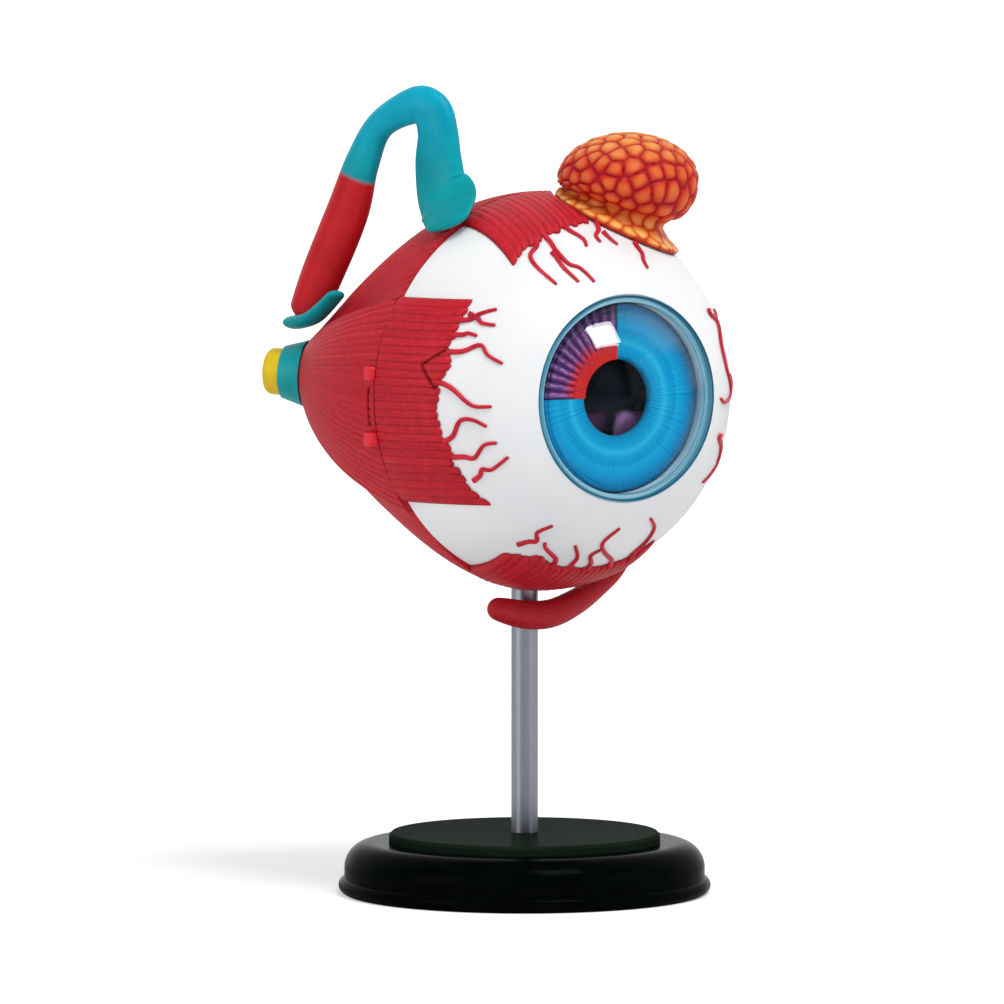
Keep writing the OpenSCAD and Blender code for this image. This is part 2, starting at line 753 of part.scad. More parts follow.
// Tendon that arches over and comes down on the globe
module superior_oblique_tendon() color([0.1, 0.6, 0.62]) {
    last = len(superior_route) - 1;
    foot = superior_route[last];
    at_globe()
        swept(superior_route, tendon_start, last, loop_normal(), 24, 12,
            unit([foot[0], foot[1], foot[2]]), foot_start);
}

// Direction square to the upright plane that holds the loop of the superior oblique
function loop_normal() =
    let (a = superior_route[0], b = superior_route[len(superior_route) - 3])
    unit([b[1] - a[1], a[0] - b[0], 0]);

// Tendon that cups the foot of that belly and ties it to the back of the muscles
module superior_oblique_origin() color([0.1, 0.55, 0.52]) {
    difference() {
        at_globe() swept(origin_route, 0, len(origin_route) - 1, nerve_up, 6, 10);
        oblique_belly();
    }
}

// Inferior oblique, from its blunt end in front of the rod to its insertion
module inferior_oblique() color([0.8, 0.1, 0.16])
    at_globe() swept(inferior_route, 0, len(inferior_route) - 1, [0.2, 0, -1], 14);

// Points evenly round a level circle, clockwise from above
function level_ring(r, z, count) = [
    for (j = [0:count - 1]) [r * cos(360 * j / count), -r * sin(360 * j / count), z]
];

// Height of the lobes at a place on the gland: highest over the middle of a lobe
function lobe(p, seeds) =
    let (d = min([for (s = seeds) norm(p - s)]) / (lobe_w * 0.62))
    lobe_h * (1 - min(1, d * d));

// Place of a point of the gland once its axis bends up to the widest place, straight beyond
function bent(q) =
    let (
        h = q[2] - globe_r,
        a = gland_lean * max(0, min(1, h / gland_belly)),
        r = gland_belly * 180 / (PI * gland_lean),
        on = h < 0 ? h : max(0, h - gland_belly)
    )
    [
        q[0] * cos(a) - r * (1 - cos(a)) - on * sin(a), q[1],
        globe_r + q[0] * sin(a) + r * sin(a) + on * cos(a)
    ];

// Fills the gland's waist out to the radius wide on its nasal side
function filled(q, wide) =
    let (r = norm([q[0], q[1]]), share = q[2] < globe_r + gland_belly ? max(0, -q[0] / r) : 0)
    [q[0] * (1 + gland_fill * share * (wide / r - 1)), q[1], q[2]];

// Lobed lacrimal gland on a skirt that follows the globe
module lacrimal_gland() color([0.9, 0.45, 0.1]) {
    around = 56;
    rows = 16;
    seed_count = round(1.5 * PI * pow(gland_d / (2 * lobe_w), 2));
    seat = globe_r + lay_gap;
    wide = gland_d / 2 - lobe_h;
    rise = gland_h - lobe_h - gland_belly;
    skirt_t = 1;
    outline = concat(
        [[wide, sqrt(seat * seat - wide * wide) + skirt_t]],
        [
            for (a = [-52, -30, -8, 16, 38, 58, 76, 90])
                [wide * max(0.001, cos(a)), globe_r + gland_belly + sin(a) * (a < 0 ? gland_belly : rise)]
        ]);
    ends = len(outline) - 1;
    middle = [0, 0, globe_r + gland_belly];
    seeds = [
        for (k = [0:seed_count - 1])
            let (
                s = (k + 0.5) / seed_count,
                p = curve(outline, ends * (0.12 + 0.88 * s * (0.75 + 0.25 * s))),
                a = 137.508 * k
            )
            filled([p[0] * cos(a), p[0] * sin(a), p[1]], wide)
    ];
    under = [
        for (r = [0.01, wide * 0.45, wide * 0.8, wide]) level_ring(r, sqrt(seat * seat - r * r), around)
    ];
    over_rings = [
        for (i = [0:rows])
            let (p = curve(outline, ends * i / rows))
            [
                for (ring_point = level_ring(max(p[0], 0.01), p[1], around))
                    let (q = filled(ring_point, wide))
                    bent(q + unit(q - middle) * lobe(q, seeds))
            ]
    ];
    along(gland_dir) loft(concat(under, over_rings));
}

// Branches of vessel in relief on the front of the globe
module conjunctival_vessels() color([0.8, 0.08, 0.14]) at_globe() {
    for (route = vessels) vessel([for (p = route) [p[0], p[1], 0]]);
}

// One vessel: half-round, widest at its root, laid along a smooth route
module vessel(route) {
    last = len(route) - 1;
    steps = 2 * last + 1;
    dt = 0.02;
    low = globe_r + 0.1;
    function place(t) =
        let (p = curve(route, max(0, min(last, t))))
        [sin(p[0]) * sin(p[1]), -cos(p[0]), sin(p[0]) * cos(p[1])];
    loft([
        for (i = [0:steps])
            let (
                t = last * i / steps,
                out = place(t),
                run = unit(place(t + dt) - place(t - dt)),
                wide = cross(out, run),
                w = vessel_w / 2 * (1 - 0.55 * i / steps),
                h = vessel_h * (1 - 0.4 * i / steps) - 0.1
            )
            [for (q = [[-1, 0], [-0.7, 0.7], [0, 1], [0.7, 0.7], [1, 0]])
                out * (low + q[1] * h) + wide * (q[0] * w)]
    ]);
}

stand_base();
stand_disc();
stand_rod();
sclera_rear();
sclera_front();
choroid_rear();
choroid_front();
retina();
vitreous_body();
lens();
ciliary_body();
iris();
iris_muscles();
cornea();
optic_nerve();
tendinous_ring();
medial_rectus();
medial_rectus_insertion();
lateral_rectus();
lateral_rectus_insertion();
superior_rectus();
superior_rectus_insertion();
inferior_rectus();
inferior_rectus_insertion();
superior_oblique();
superior_oblique_tendon();
superior_oblique_origin();
inferior_oblique();
lacrimal_gland();
conjunctival_vessels();
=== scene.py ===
import math

import bmesh
import bpy
import numpy as np
from mathutils import Matrix, Vector


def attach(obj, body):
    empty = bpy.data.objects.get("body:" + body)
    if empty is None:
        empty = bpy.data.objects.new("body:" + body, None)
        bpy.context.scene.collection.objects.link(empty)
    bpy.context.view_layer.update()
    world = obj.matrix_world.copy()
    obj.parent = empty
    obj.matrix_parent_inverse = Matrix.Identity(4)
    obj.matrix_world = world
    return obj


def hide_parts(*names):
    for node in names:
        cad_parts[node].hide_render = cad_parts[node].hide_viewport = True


# Take-apart eye model. Lengths here are in millimetres from the globe's centre, as in the CAD
# source, and place() turns them into metres in the frame. Clock angles are seen from the
# front: 0 up, 90 temporal (+X), 180 down, 270 nasal (-X). The eye looks along -Y.

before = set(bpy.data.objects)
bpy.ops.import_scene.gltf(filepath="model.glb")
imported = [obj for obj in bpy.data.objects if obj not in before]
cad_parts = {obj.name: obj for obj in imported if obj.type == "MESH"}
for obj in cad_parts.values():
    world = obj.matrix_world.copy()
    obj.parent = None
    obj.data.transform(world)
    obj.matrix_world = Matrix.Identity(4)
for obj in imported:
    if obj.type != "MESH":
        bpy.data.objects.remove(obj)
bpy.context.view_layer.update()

# Sizes of the CAD source
MM = 0.001
CENTRE = np.array([0.0, -4.6, 94.8])
GLOBE_R = 36.0
REAR_R = 34.4
SEAM_Y = 2.5
GAP = 0.3
STRAP_T = 1.4
STRAP_END_T = 1.5
FRAYED_T = 0.7
RING_R = 6.3
BUNDLE_R = RING_R + 0.1
BUNDLE_S = 45.1 - GAP
GLAND_HOLE_R = 13.6
ROD_HOLE_R = 2.85

# Relief of the muscles, and how far smooth forms lie inside the corners of the CAD's
RIB_PITCH = 1.45
RIB_RELIEF = 0.26
FRINGE_RELIEF = 0.17
SLIM = 0.12

WHITE = (1, 1, 1, 1)
BLACK = (0, 0, 0, 1)


def unit(v):
    """v at length one; a grid of vectors keeps its shape."""
    v = np.asarray(v, float)
    return v / np.linalg.norm(v, axis=-1, keepdims=True)


TURN = math.radians(42)
RISE = math.radians(3)
NERVE_DIR = np.array([-math.sin(TURN) * math.cos(RISE), math.cos(TURN) * math.cos(RISE), math.sin(RISE)])
NERVE_UP = unit(np.array([0, 0, 1]) - NERVE_DIR[2] * NERVE_DIR)
NERVE_SIDE = np.cross(NERVE_UP, NERVE_DIR)
GLAND_DIR = unit([0.33, -0.27, 0.905])


# ---------- camera, lights and floor

def make_camera():
    """Camera at the photograph's viewing angle, framed for 1004 x 1004 pixels."""
    azimuth = math.radians(32.5)
    distance = 1620.0
    raised = 99.0
    pixel = 0.1865
    yaw = math.radians(0.237)
    pitch = math.radians(4.236)
    data = bpy.data.cameras.new("camera")
    data.sensor_width = 36
    data.lens = distance / pixel * 36 / 1004
    data.clip_start = 0.1
    data.clip_end = 200
    camera = bpy.data.objects.new("camera", data)
    bpy.context.scene.collection.objects.link(camera)
    away = np.array([-math.sin(azimuth) * distance, -math.cos(azimuth) * distance, raised])
    heading = math.pi / 2 - azimuth + yaw
    level = math.cos(pitch)
    ahead = Vector((math.cos(heading) * level, math.sin(heading) * level, -math.sin(pitch)))
    camera.location = Vector((CENTRE + away) * MM)
    camera.rotation_euler = ahead.to_track_quat("-Z", "Y").to_euler()
    bpy.context.scene.camera = camera


def area_light(name, where, size, power):
    """Square soft light that faces the middle of the object."""
    data = bpy.data.lights.new(name, "AREA")
    data.shape = "SQUARE"
    data.size = size
    data.energy = power
    lamp = bpy.data.objects.new(name, data)
    bpy.context.scene.collection.objects.link(lamp)
    lamp.location = Vector(where)
    lamp.rotation_euler = (Vector((0, 0, 0.08)) - lamp.location).to_track_quat("-Z", "Y").to_euler()


def make_lights():
    area_light("key", (0.0, -0.85, 1.45), 0.6, 14)
    area_light("fill", (0.75, -1.3, 0.5), 0.9, 3.6)
    area_light("side", (-1.4, 0.0, 0.4), 0.9, 5.4)


def make_world():
    """Even pale light; the camera sees white, and gloss a white backdrop behind the object."""
    world = bpy.data.worlds.new("studio")
    bpy.context.scene.world = world
    net = Tree(world)
    soft = net.add("Background", Color=(0.93, 0.96, 1.0, 1), Strength=0.42)
    behind = net.add("VectorMath", operation="DOT_PRODUCT")
    behind.inputs[1].default_value = (0.537, 0.843, 0)
    net.links.new(net.add("TexCoord").outputs["Generated"], behind.inputs[0])
    backdrop = net.add("MapRange", Value=behind.outputs["Value"], From_Min=-0.2, From_Max=0.5,
                       To_Min=0.12, To_Max=1.0)
    glossy = net.add("Background", Color=WHITE, Strength=backdrop.outputs[0])
    white = net.add("Background", Color=WHITE, Strength=1.0)
    rays = net.add("LightPath").outputs
    seen = net.math("MAXIMUM", rays["Is Camera Ray"], rays["Is Transmission Ray"])
    reflected = net.mix_shaders(rays["Is Glossy Ray"], soft, glossy)
    out = net.add("OutputWorld")
    net.links.new(net.mix_shaders(seen, reflected, white).outputs[0], out.inputs["Surface"])


def floor_material():
    """Matt white that looks brighter to the camera farther off, where it meets the backdrop."""
    mat = bpy.data.materials.new("floor")
    net = Tree(mat)
    matte = net.add("BsdfDiffuse", Color=(0.86, 0.86, 0.86, 1))
    far = net.add("VectorMath", operation="LENGTH")
    net.links.new(net.add("TexCoord").outputs["Object"], far.inputs[0])
    glare = net.add("MapRange", Value=far.outputs["Value"], From_Min=0.2, From_Max=1.2,
                    To_Min=0.42, To_Max=0.9)
    lift = net.math("MULTIPLY", net.add("LightPath").outputs["Is Camera Ray"], glare.outputs[0])
    glow = net.add("Emission", Color=WHITE, Strength=lift)
    both = net.add("AddShader")
    net.links.new(matte.outputs[0], both.inputs[0])
    net.links.new(glow.outputs[0], both.inputs[1])
    net.links.new(both.outputs[0], net.add("OutputMaterial").inputs["Surface"])
    return mat


def make_floor():
    """Plain pale floor that looks white where it is lit and keeps the object's shadow."""
    mesh = bpy.data.meshes.new("floor")
    reach = 60.0
    corners = [(-reach, -reach, 0), (reach, -reach, 0), (reach, reach, 0), (-reach, reach, 0)]
    mesh.from_pydata(corners, [], [(0, 1, 2, 3)])
    mesh.materials.append(floor_material())
    floor = bpy.data.objects.new("floor", mesh)
    bpy.context.scene.collection.objects.link(floor)


# ---------- material helpers

def srgb(red, green, blue):
    """Linear colour of a screen colour given as 0 to 255."""
    out = []
    for c in (red, green, blue):
        c = c / 255
        out.append(c / 12.92 if c <= 0.04045 else ((c + 0.055) / 1.055) ** 2.4)
    return (*out, 1.0)


class Tree:
    """Short calls that build an emptied node tree."""

    def __init__(self, owner):
        owner.use_nodes = True
        self.nodes = owner.node_tree.nodes
        self.links = owner.node_tree.links
        self.nodes.clear()

    def add(self, kind, **values):
        """New node; values are its properties, or its inputs where it has no such property."""
        node = self.nodes.new("ShaderNode" + kind)
        for key, value in values.items():
            if hasattr(node, key):
                setattr(node, key, value)
            else:
                self.feed(node.inputs[key.replace("_", " ")], value)
        return node

    def feed(self, socket, value):
        """Links another node's socket to this one, or sets its value."""
        if isinstance(value, bpy.types.NodeSocket):
            self.links.new(value, socket)
        else:
            socket.default_value = value

    def math(self, operation, a, b=0.0, c=0.0):
        node = self.add("Math", operation=operation)
        for socket, value in zip(node.inputs, (a, b, c)):
            self.feed(socket, value)
        return node.outputs[0]

    def mix_shaders(self, factor, a, b):
        node = self.add("MixShader")
        self.links.new(factor, node.inputs[0])
        self.links.new(a.outputs[0], node.inputs[1])
        self.links.new(b.outputs[0], node.inputs[2])
        return node


class Net(Tree):
    """A new node material with a Principled shader."""

    def __init__(self, name, roughness=0.35, specular=0.2, ior=1.5):
        self.mat = bpy.data.materials.new(name)
        super().__init__(self.mat)
        self.shader = self.add("BsdfPrincipled", Roughness=roughness, IOR=ior)
        self.shader.inputs["Specular IOR Level"].default_value = specular
        self.out = self.add("OutputMaterial", Surface=self.shader.outputs[0])

    def place(self, scale=(1, 1, 1)):
        """Position in metres, stretched by scale along each axis."""
        coords = self.add("TexCoord")
        return self.add("Mapping", Vector=coords.outputs["Object"], Scale=scale).outputs[0]

    def noise(self, scale, detail=3.0, vector=None, roughness=0.5):
        vector = self.place() if vector is None else vector
        node = self.add("TexNoise", Scale=scale, Detail=detail, Roughness=roughness, Vector=vector)
        return node.outputs["Fac"]

    def attribute(self, name):
        return self.add("Attribute", attribute_name=name).outputs["Fac"]

    def vector(self, name):
        return self.add("Attribute", attribute_name=name).outputs["Vector"]

    def ramp(self, factor, stops, smooth=False):
        """Colour ramp over (place, colour) stops."""
        node = self.nodes.new("ShaderNodeValToRGB")
        node.color_ramp.interpolation = "EASE" if smooth else "LINEAR"
        elements = node.color_ramp.elements
        while len(elements) > 1:
            elements.remove(elements[-1])
        elements[0].position = stops[0][0]
        elements[0].color = stops[0][1]
        for where, colour in stops[1:]:
            elements.new(where).color = colour
        self.links.new(factor, node.inputs["Fac"])
        return node.outputs["Color"]

    def mix(self, factor, a, b, blend="MIX"):
        node = self.add("Mix", data_type="RGBA", blend_type=blend)
        for key, value in ((0, factor), (6, a), (7, b)):
            self.feed(node.inputs[key], value)
        return node.outputs[2]

    def colour(self, socket):
        self.links.new(socket, self.shader.inputs["Base Color"])

    def rough(self, factor, low, high):
        gloss = self.math("MULTIPLY_ADD", factor, high - low, low)
        self.links.new(gloss, self.shader.inputs["Roughness"])

    def bump(self, height, strength, distance):
        node = self.add("Bump", Strength=strength, Distance=distance, Height=height)
        self.links.new(node.outputs[0], self.shader.inputs["Normal"])


# ---------- mesh helpers

def place(points):
    """Points in millimetres from the globe's centre, as metres in the frame."""
    return (np.asarray(points, float) + CENTRE) * MM


def new_object(name, points, faces, attributes=None, sharp=50):
    """Smooth-shaded mesh object with outward faces and float point attributes."""
    mesh = bpy.data.meshes.new(name)
    mesh.from_pydata(place(points).tolist(), [], [list(map(int, f)) for f in faces])
    for key, values in (attributes or {}).items():
        values = np.asarray(values, np.float32)
        kind = "FLOAT_VECTOR" if values.ndim == 2 else "FLOAT"
        layer = mesh.attributes.new(key, kind, "POINT")
        layer.data.foreach_set("vector" if values.ndim == 2 else "value", values.ravel())
    form = bmesh.new()
    form.from_mesh(mesh)
    bmesh.ops.recalc_face_normals(form, faces=form.faces)
    form.to_mesh(mesh)
    form.free()
    mesh.shade_smooth()
    mesh.set_sharp_from_angle(angle=math.radians(sharp))
    obj = bpy.data.objects.new(name, mesh)
    bpy.context.scene.collection.objects.link(obj)
    return obj


def skin(top, bottom):
    """Points and faces of a closed sheet between two grids of points of one size."""
    rows, columns = top.shape[:2]
    count = rows * columns
    k = np.arange(count).reshape(rows, columns)
    quads = np.stack([k[:-1, :-1], k[:-1, 1:], k[1:, 1:], k[1:, :-1]], -1).reshape(-1, 4)
    rim = np.concatenate([k[0, :], k[1:, -1], k[-1, -2::-1], k[-2:0:-1, 0]])
    ahead = np.roll(rim, -1)
    walls = np.stack([ahead, rim, rim + count, ahead + count], -1)
    points = np.concatenate([top.reshape(-1, 3), bottom.reshape(-1, 3)])
    return points, np.concatenate([quads, quads[:, ::-1] + count, walls])


def loft(rings):
    """Points and faces of a closed form over a grid of rings."""
    rows, around = rings.shape[:2]
    k = np.arange(rows * around).reshape(rows, around)
    ahead = np.roll(k, -1, axis=1)
    quads = np.stack([k[:-1], ahead[:-1], ahead[1:], k[1:]], -1).reshape(-1, 4)
    faces = quads.tolist() + [k[0].tolist(), k[-1, ::-1].tolist()]
    return rings.reshape(-1, 3), faces


def curve(points, t):
    """Smooth curve through a list of points at places t, which count points."""
    points = np.asarray(points, float)
    last = len(points) - 1
    t = np.asarray(t, float)
    i = np.minimum(np.floor(t).astype(int), last - 1)
    s = (t - i)[:, None]
    p = [points[np.clip(i + k, 0, last)] for k in (-1, 0, 1, 2)]
    return 0.5 * (2 * p[1] + (p[2] - p[0]) * s + (2 * p[0] - 5 * p[1] + 4 * p[2] - p[3]) * s * s
                  + (3 * p[1] - p[0] - 3 * p[2] + p[3]) * s ** 3)


def eased(start, end, steps):
    """Places from start to end that crowd at both ends."""
    return start + (end - start) * (1 - np.cos(np.pi * np.linspace(0, 1, steps))) / 2


def round_ends(length, first, last):
    """Share of full width along a form with rounded ends of the given lengths."""
    share = np.ones_like(length)
    for reach, far in ((first, length), (last, length[-1] - length)):
        if reach:
            x = np.clip(far / reach, 0, 1)
            share = np.minimum(share, np.sqrt(np.clip(1 - (1 - x) ** 2, 0.0004, 1)))
    return share


def swept(route, t, side, around, ends=(0, 0), groove=0.0, grooves=20):
    """Rings of oval section along a route of [x, y, z, width, thickness].

    The width lies across side, which may be one direction or one for each place.
    """
    route = np.asarray(route, float)
    last = len(route) - 1
    here = curve(route, t)
    ahead = curve(route, np.minimum(t + 0.01, last)) - curve(route, np.maximum(t - 0.01, 0))
    run = unit(ahead[:, :3])
    side = np.broadcast_to(side, run.shape)
    thick = unit(side - (run * side).sum(-1)[:, None] * run)
    wide = np.cross(run, thick)
    steps = np.linalg.norm(np.diff(here[:, :3], axis=0), axis=1)
    share = round_ends(np.concatenate([[0], np.cumsum(steps)]), *ends)[:, None]
    a = np.linspace(0, 2 * np.pi, around, endpoint=False)
    ribs = SLIM + groove * np.abs(np.sin(a * grooves / 2))
    across = (here[:, 3:4] / 2 - ribs) * share * np.cos(a)
    deep = (here[:, 4:5] / 2 - ribs) * share * np.sin(a)
    return here[:, None, :3] + wide[:, None] * across[..., None] + thick[:, None] * deep[..., None]


def cut_out(obj, axis, radius, low, high, start=(0, 0, 0)):
    """Cuts a round hole through obj along a line from start, in millimetres."""
    form = bmesh.new()
    turn = Vector(axis).to_track_quat("Z", "Y").to_matrix().to_4x4()
    centre = np.asarray(start, float) + np.asarray(axis, float) * (low + high) / 2
    bmesh.ops.create_cone(form, cap_ends=True, segments=128, radius1=radius * MM, radius2=radius * MM,
                          depth=(high - low) * MM, matrix=Matrix.Translation(place(centre)) @ turn)
    mesh = bpy.data.meshes.new("cutter")
    form.to_mesh(mesh)
    form.free()
    cutter = bpy.data.objects.new("cutter", mesh)
    bpy.context.scene.collection.objects.link(cutter)
    modifier = obj.modifiers.new("cut", "BOOLEAN")
    modifier.operation = "DIFFERENCE"
    modifier.solver = "EXACT"
    modifier.object = cutter
    bpy.context.view_layer.update()
    shaped = bpy.data.meshes.new_from_object(obj.evaluated_get(bpy.context.evaluated_depsgraph_get()))
    obj.modifiers.clear()
    obj.data = shaped
    shaped.shade_smooth()
    shaped.set_sharp_from_angle(angle=math.radians(50))
    bpy.data.objects.remove(cutter)
    bpy.data.meshes.remove(mesh)


def dress(obj, body, slot, material, *nodes):
    """Gives a piece its material and body, and hides the CAD nodes that it stands for. slot is not used."""
    obj.data.materials.clear()
    obj.data.materials.append(material)
    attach(obj, body)
    if nodes:
        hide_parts(*nodes)
    return obj


# ---------- ribbed muscles

def rib_profile(place_mm, pitch, rng):
    """Height from 0 to 1 across rounded ribs, and each rib's own random share."""
    index = np.floor(place_mm / pitch).astype(int)
    inside = place_mm / pitch - index
    index -= index.min()
    own = rng.random(index.max() + 2)[index]
    return np.abs(np.sin(np.pi * inside)) ** 0.55, own


def strap_points(seam, ring, s, t, radius, end_r, rise):
    """Grid of points of a straight muscle behind the seam, as the CAD source lays it."""
    seam_angle = np.radians(seam[0] + (seam[1] - seam[0]) * s)
    ring_angle = np.radians(ring[0] + (ring[1] - ring[0]) * s)
    y = -SEAM_Y + GAP / 2
    across = np.sqrt(radius ** 2 - y * y)
    a = np.stack([across * np.sin(seam_angle), np.full_like(across, y), across * np.cos(seam_angle)], -1)
    round_nerve = np.cos(ring_angle)[..., None] * NERVE_UP + np.sin(ring_angle)[..., None] * NERVE_SIDE
    b = BUNDLE_S * NERVE_DIR + end_r[..., None] * round_nerve
    far_a = np.linalg.norm(a, axis=-1)
    far_b = np.linalg.norm(b, axis=-1)
    angle = np.arccos((unit(a) * unit(b)).sum(-1))
    way = (np.sin((1 - t) * angle)[..., None] * unit(a) + np.sin(t * angle)[..., None] * unit(b))
    way = way / np.sin(angle)[..., None]
    return (far_a + (far_b - far_a) * t ** rise)[..., None] * way


def strap(name, seam, ring, rise, thinned, hollow, seed, per_rib=8, rows=44, dips=()):
    """Rear fan of a straight muscle with fine ribs. Each dip is a function of the grid of
    points that tells how far to press them in."""
    rng = np.random.default_rng(seed)
    width = GLOBE_R * abs(seam[1] - seam[0]) * math.pi / 180
    ribs = round(width / RIB_PITCH)
    s = np.linspace(0, 1, ribs * per_rib + 1)
    t = np.linspace(0, 1, rows + 1)
    if dips:
        t = np.unique(np.concatenate([t, np.linspace(0.016, 0.06, 30)]))
    t, s = np.meshgrid(t, s, indexing="ij")
    wander = 0.16 * np.sin(9 * t + 31 * s) * np.sin(np.pi * t)
    profile, own = rib_profile(s * ribs + wander, 1.0, rng)
    full = 1 - thinned * (2 * s - 1) ** 2
    left = 1 - hollow * np.sin(np.radians(np.minimum(180, 225 * t)))
    under = REAR_R + GAP + 0.1
    share = np.maximum(0.2, full * left)
    height = RIB_RELIEF * profile * (0.7 + 0.3 * own) * (1 - 0.4 * t)
    radius = under + (GLOBE_R + STRAP_T - 0.04 - under) * share + height
    end_r = BUNDLE_R - STRAP_END_T + STRAP_END_T * full
    top = strap_points(seam, ring, s, t, radius, end_r, rise[0])
    rib = profile.copy()
    # Dipped places get a low rib value, which the material paints near black: painted shade in the slit.
    for dip in dips:
        depth = dip(top)
        top = top * (1 - depth / np.linalg.norm(top, axis=-1))[..., None]
        rib = np.where(depth > 0.3, -1.0, rib)
    flat = np.full_like(radius, under)
    bottom = strap_points(seam, ring, s, t, flat, np.full_like(flat, BUNDLE_R - STRAP_END_T), rise[1])
    points, faces = skin(top, bottom)
    rib = np.concatenate([rib.ravel(), np.zeros(profile.size)])
    tone = np.concatenate([own.ravel(), own.ravel()])
    fibre = np.stack([s * ribs, t * 30, np.zeros_like(s)], -1).reshape(-1, 3)
    layers = {"rib": rib, "tone": tone, "fibre": np.concatenate([fibre, fibre])}
    return new_object(name, points, faces, layers)


def insertion(name, clock, edge, seed, per_rib=8, rows=22, dips=()):
    """Ribbed insertion of a straight muscle on the front half, with a ragged front edge."""
    rng = np.random.default_rng(seed)
    edge = np.asarray(edge, float)
    ribs = round((edge[-1, 0] - edge[0, 0]) / RIB_PITCH)
    across = np.linspace(edge[0, 0], edge[-1, 0], ribs * per_rib + 1)
    profile, own = rib_profile(np.linspace(0, ribs, ribs * per_rib + 1), 1.0, rng)
    reach = np.interp(across, edge[:, 0], edge[:, 1]) - 0.4 * (1 - profile) - 0.8 * own
    w = np.concatenate([np.linspace(0, 0.94, rows), [0.965, 0.985, 1.0]])
    w, u = np.meshgrid(w, across, indexing="ij")
    start = SEAM_Y + GAP / 2
    v = start + (reach - start) * w
    tip = np.sqrt(np.clip(1 - ((w - 0.93) / 0.075).clip(0, 1) ** 2, 0.02, 1))
    from_side = np.minimum(u - edge[0, 0], edge[-1, 0] - u)
    tip = tip * (0.25 + 0.75 * np.sqrt(np.clip(from_side / 2.2, 0, 1)))
    height = FRINGE_RELIEF * profile * (0.7 + 0.3 * own)
    top_r = GLOBE_R + GAP + (STRAP_T - GAP - 0.04 + (FRAYED_T - STRAP_T) * w ** 1.5 + height) * tip
    rib = np.broadcast_to(profile, w.shape).copy()
    # Dipped places get a low rib value, which the material paints dark: painted shade in the flap lines.
    for dip in dips:
        depth = dip(u, v)
        top_r = top_r - depth
        rib = np.where(depth > 0.1, -0.6, rib)
    bottom_r = np.full_like(top_r, GLOBE_R + 0.12)
    c = math.radians(clock)

    def laid(r):
        z = np.sqrt(r * r - u * u - v * v)
        return np.stack([u * math.cos(c) + z * math.sin(c), -v, z * math.cos(c) - u * math.sin(c)], -1)

    points, faces = skin(laid(top_r), laid(bottom_r))
    tone = np.broadcast_to(own, w.shape).ravel()
    fibre = np.stack([u * 0.7 + 40, v * 0.5, np.zeros_like(u)], -1).reshape(-1, 3)
    layers = {"rib": np.concatenate([rib.ravel(), rib.ravel() * 0]), "tone": np.concatenate([tone, tone]),
              "fibre": np.concatenate([fibre, fibre])}
    return new_object(name, points, faces, layers)


def slit_dip(points):
    """Depth of the slit between the studs in the medial rectus, which curves at its top."""
    height = points[..., 2] + 1.9
    middle_y = -0.62 - 0.45 * np.clip((height - 1.6) / 2.2, 0, 1) ** 2
    along = 1 - np.clip((np.abs(points[..., 1] - middle_y) - 0.24) / 0.16, 0, 1)
    across = 1 - np.clip((np.abs(height) - 3.3) / 0.4, 0, 1)
    return 0.95 * along * across * (points[..., 0] < 0)


def flap_dip(u, v):
    """Depth of the lines that draw a torn flap at the edge of the medial insertion."""
    depth = 0
    for a, b in (((10.2, 18.6), (6.4, 13.4)), ((6.4, 13.4), (2.2, 16.2))):
        along = np.array(b) - np.array(a)
        share = np.clip(((u - a[0]) * along[0] + (v - a[1]) * along[1]) / (along @ along), 0, 1)
        far = np.hypot(u - a[0] - share * along[0], v - a[1] - share * along[1])
        depth = np.maximum(depth, 0.32 * (1 - np.clip((far - 0.12) / 0.22, 0, 1)))
    return depth


def stud(low, side):
    """Square stud with rounded corners on the medial rectus, as a stack of rings."""
    corner = 0.45
    count = 24
    around = []
    for k in range(count):
        a = 2 * math.pi * k / count
        x = math.copysign(side / 2 - corner, math.cos(a)) + corner * math.cos(a)
        y = math.copysign(side / 2 - corner, math.sin(a)) + corner * math.sin(a)
        around.append((x, y))
    around = np.array(around)
    rings = []
    outer = GLOBE_R + STRAP_T + 0.7
    for depth, shrink in ((2.0, 1.0), (0.25, 1.0), (0.08, 0.93), (0.0, 0.8), (0.0, 0.3)):
        ring = np.zeros((count, 3))
        ring[:, 0] = -(outer - depth)
        ring[:, 1] = -SEAM_Y + GAP / 2 + side / 2 + around[:, 0] * shrink
        ring[:, 2] = low + around[:, 1] * shrink
        rings.append(ring)
    return loft(np.array(rings))


def muscle_material(name, light=1.0):
    """Red painted muscle, each fibre a little different. The "rib" attribute paints the grooves between
    fibres dark, and the slit and the flap lines darker still: painted shade.
    """
    net = Net(name, roughness=0.42, specular=0.14)
    rib = net.attribute("rib")
    tone = net.attribute("tone")
    streak = net.noise(1.3, 5.0, net.vector("fibre"), 0.6)
    blotch = net.noise(70, 2.0)
    # light scales all the reds, so that a copy can be painted darker as painted shade.
    dark = srgb(166 * light, 24 * light, 36 * light)
    fair = srgb(206 * light, 36 * light, 50 * light)
    fibre = net.ramp(streak, [(0.3, dark), (0.7, fair)])
    varied = net.mix(net.math("MULTIPLY", tone, 0.4), fibre, srgb(214 * light, 42 * light, 54 * light))
    # Painted shade: this ramp darkens the grooves between fibres, and the slit and flap lines most.
    groove = net.ramp(net.math("MULTIPLY_ADD", rib, 0.5, 0.5),
                      [(0.0, srgb(20, 6, 12)), (0.5, srgb(198, 172, 180)), (0.7, WHITE)])
    shaded = net.mix(0.9, varied, groove, "MULTIPLY")
    net.colour(net.mix(net.math("MULTIPLY", blotch, 0.2), shaded, srgb(180 * light, 28 * light, 42 * light)))
    net.rough(streak, 0.34, 0.5)
    net.bump(streak, 0.3, 0.0003)
    return net.mat


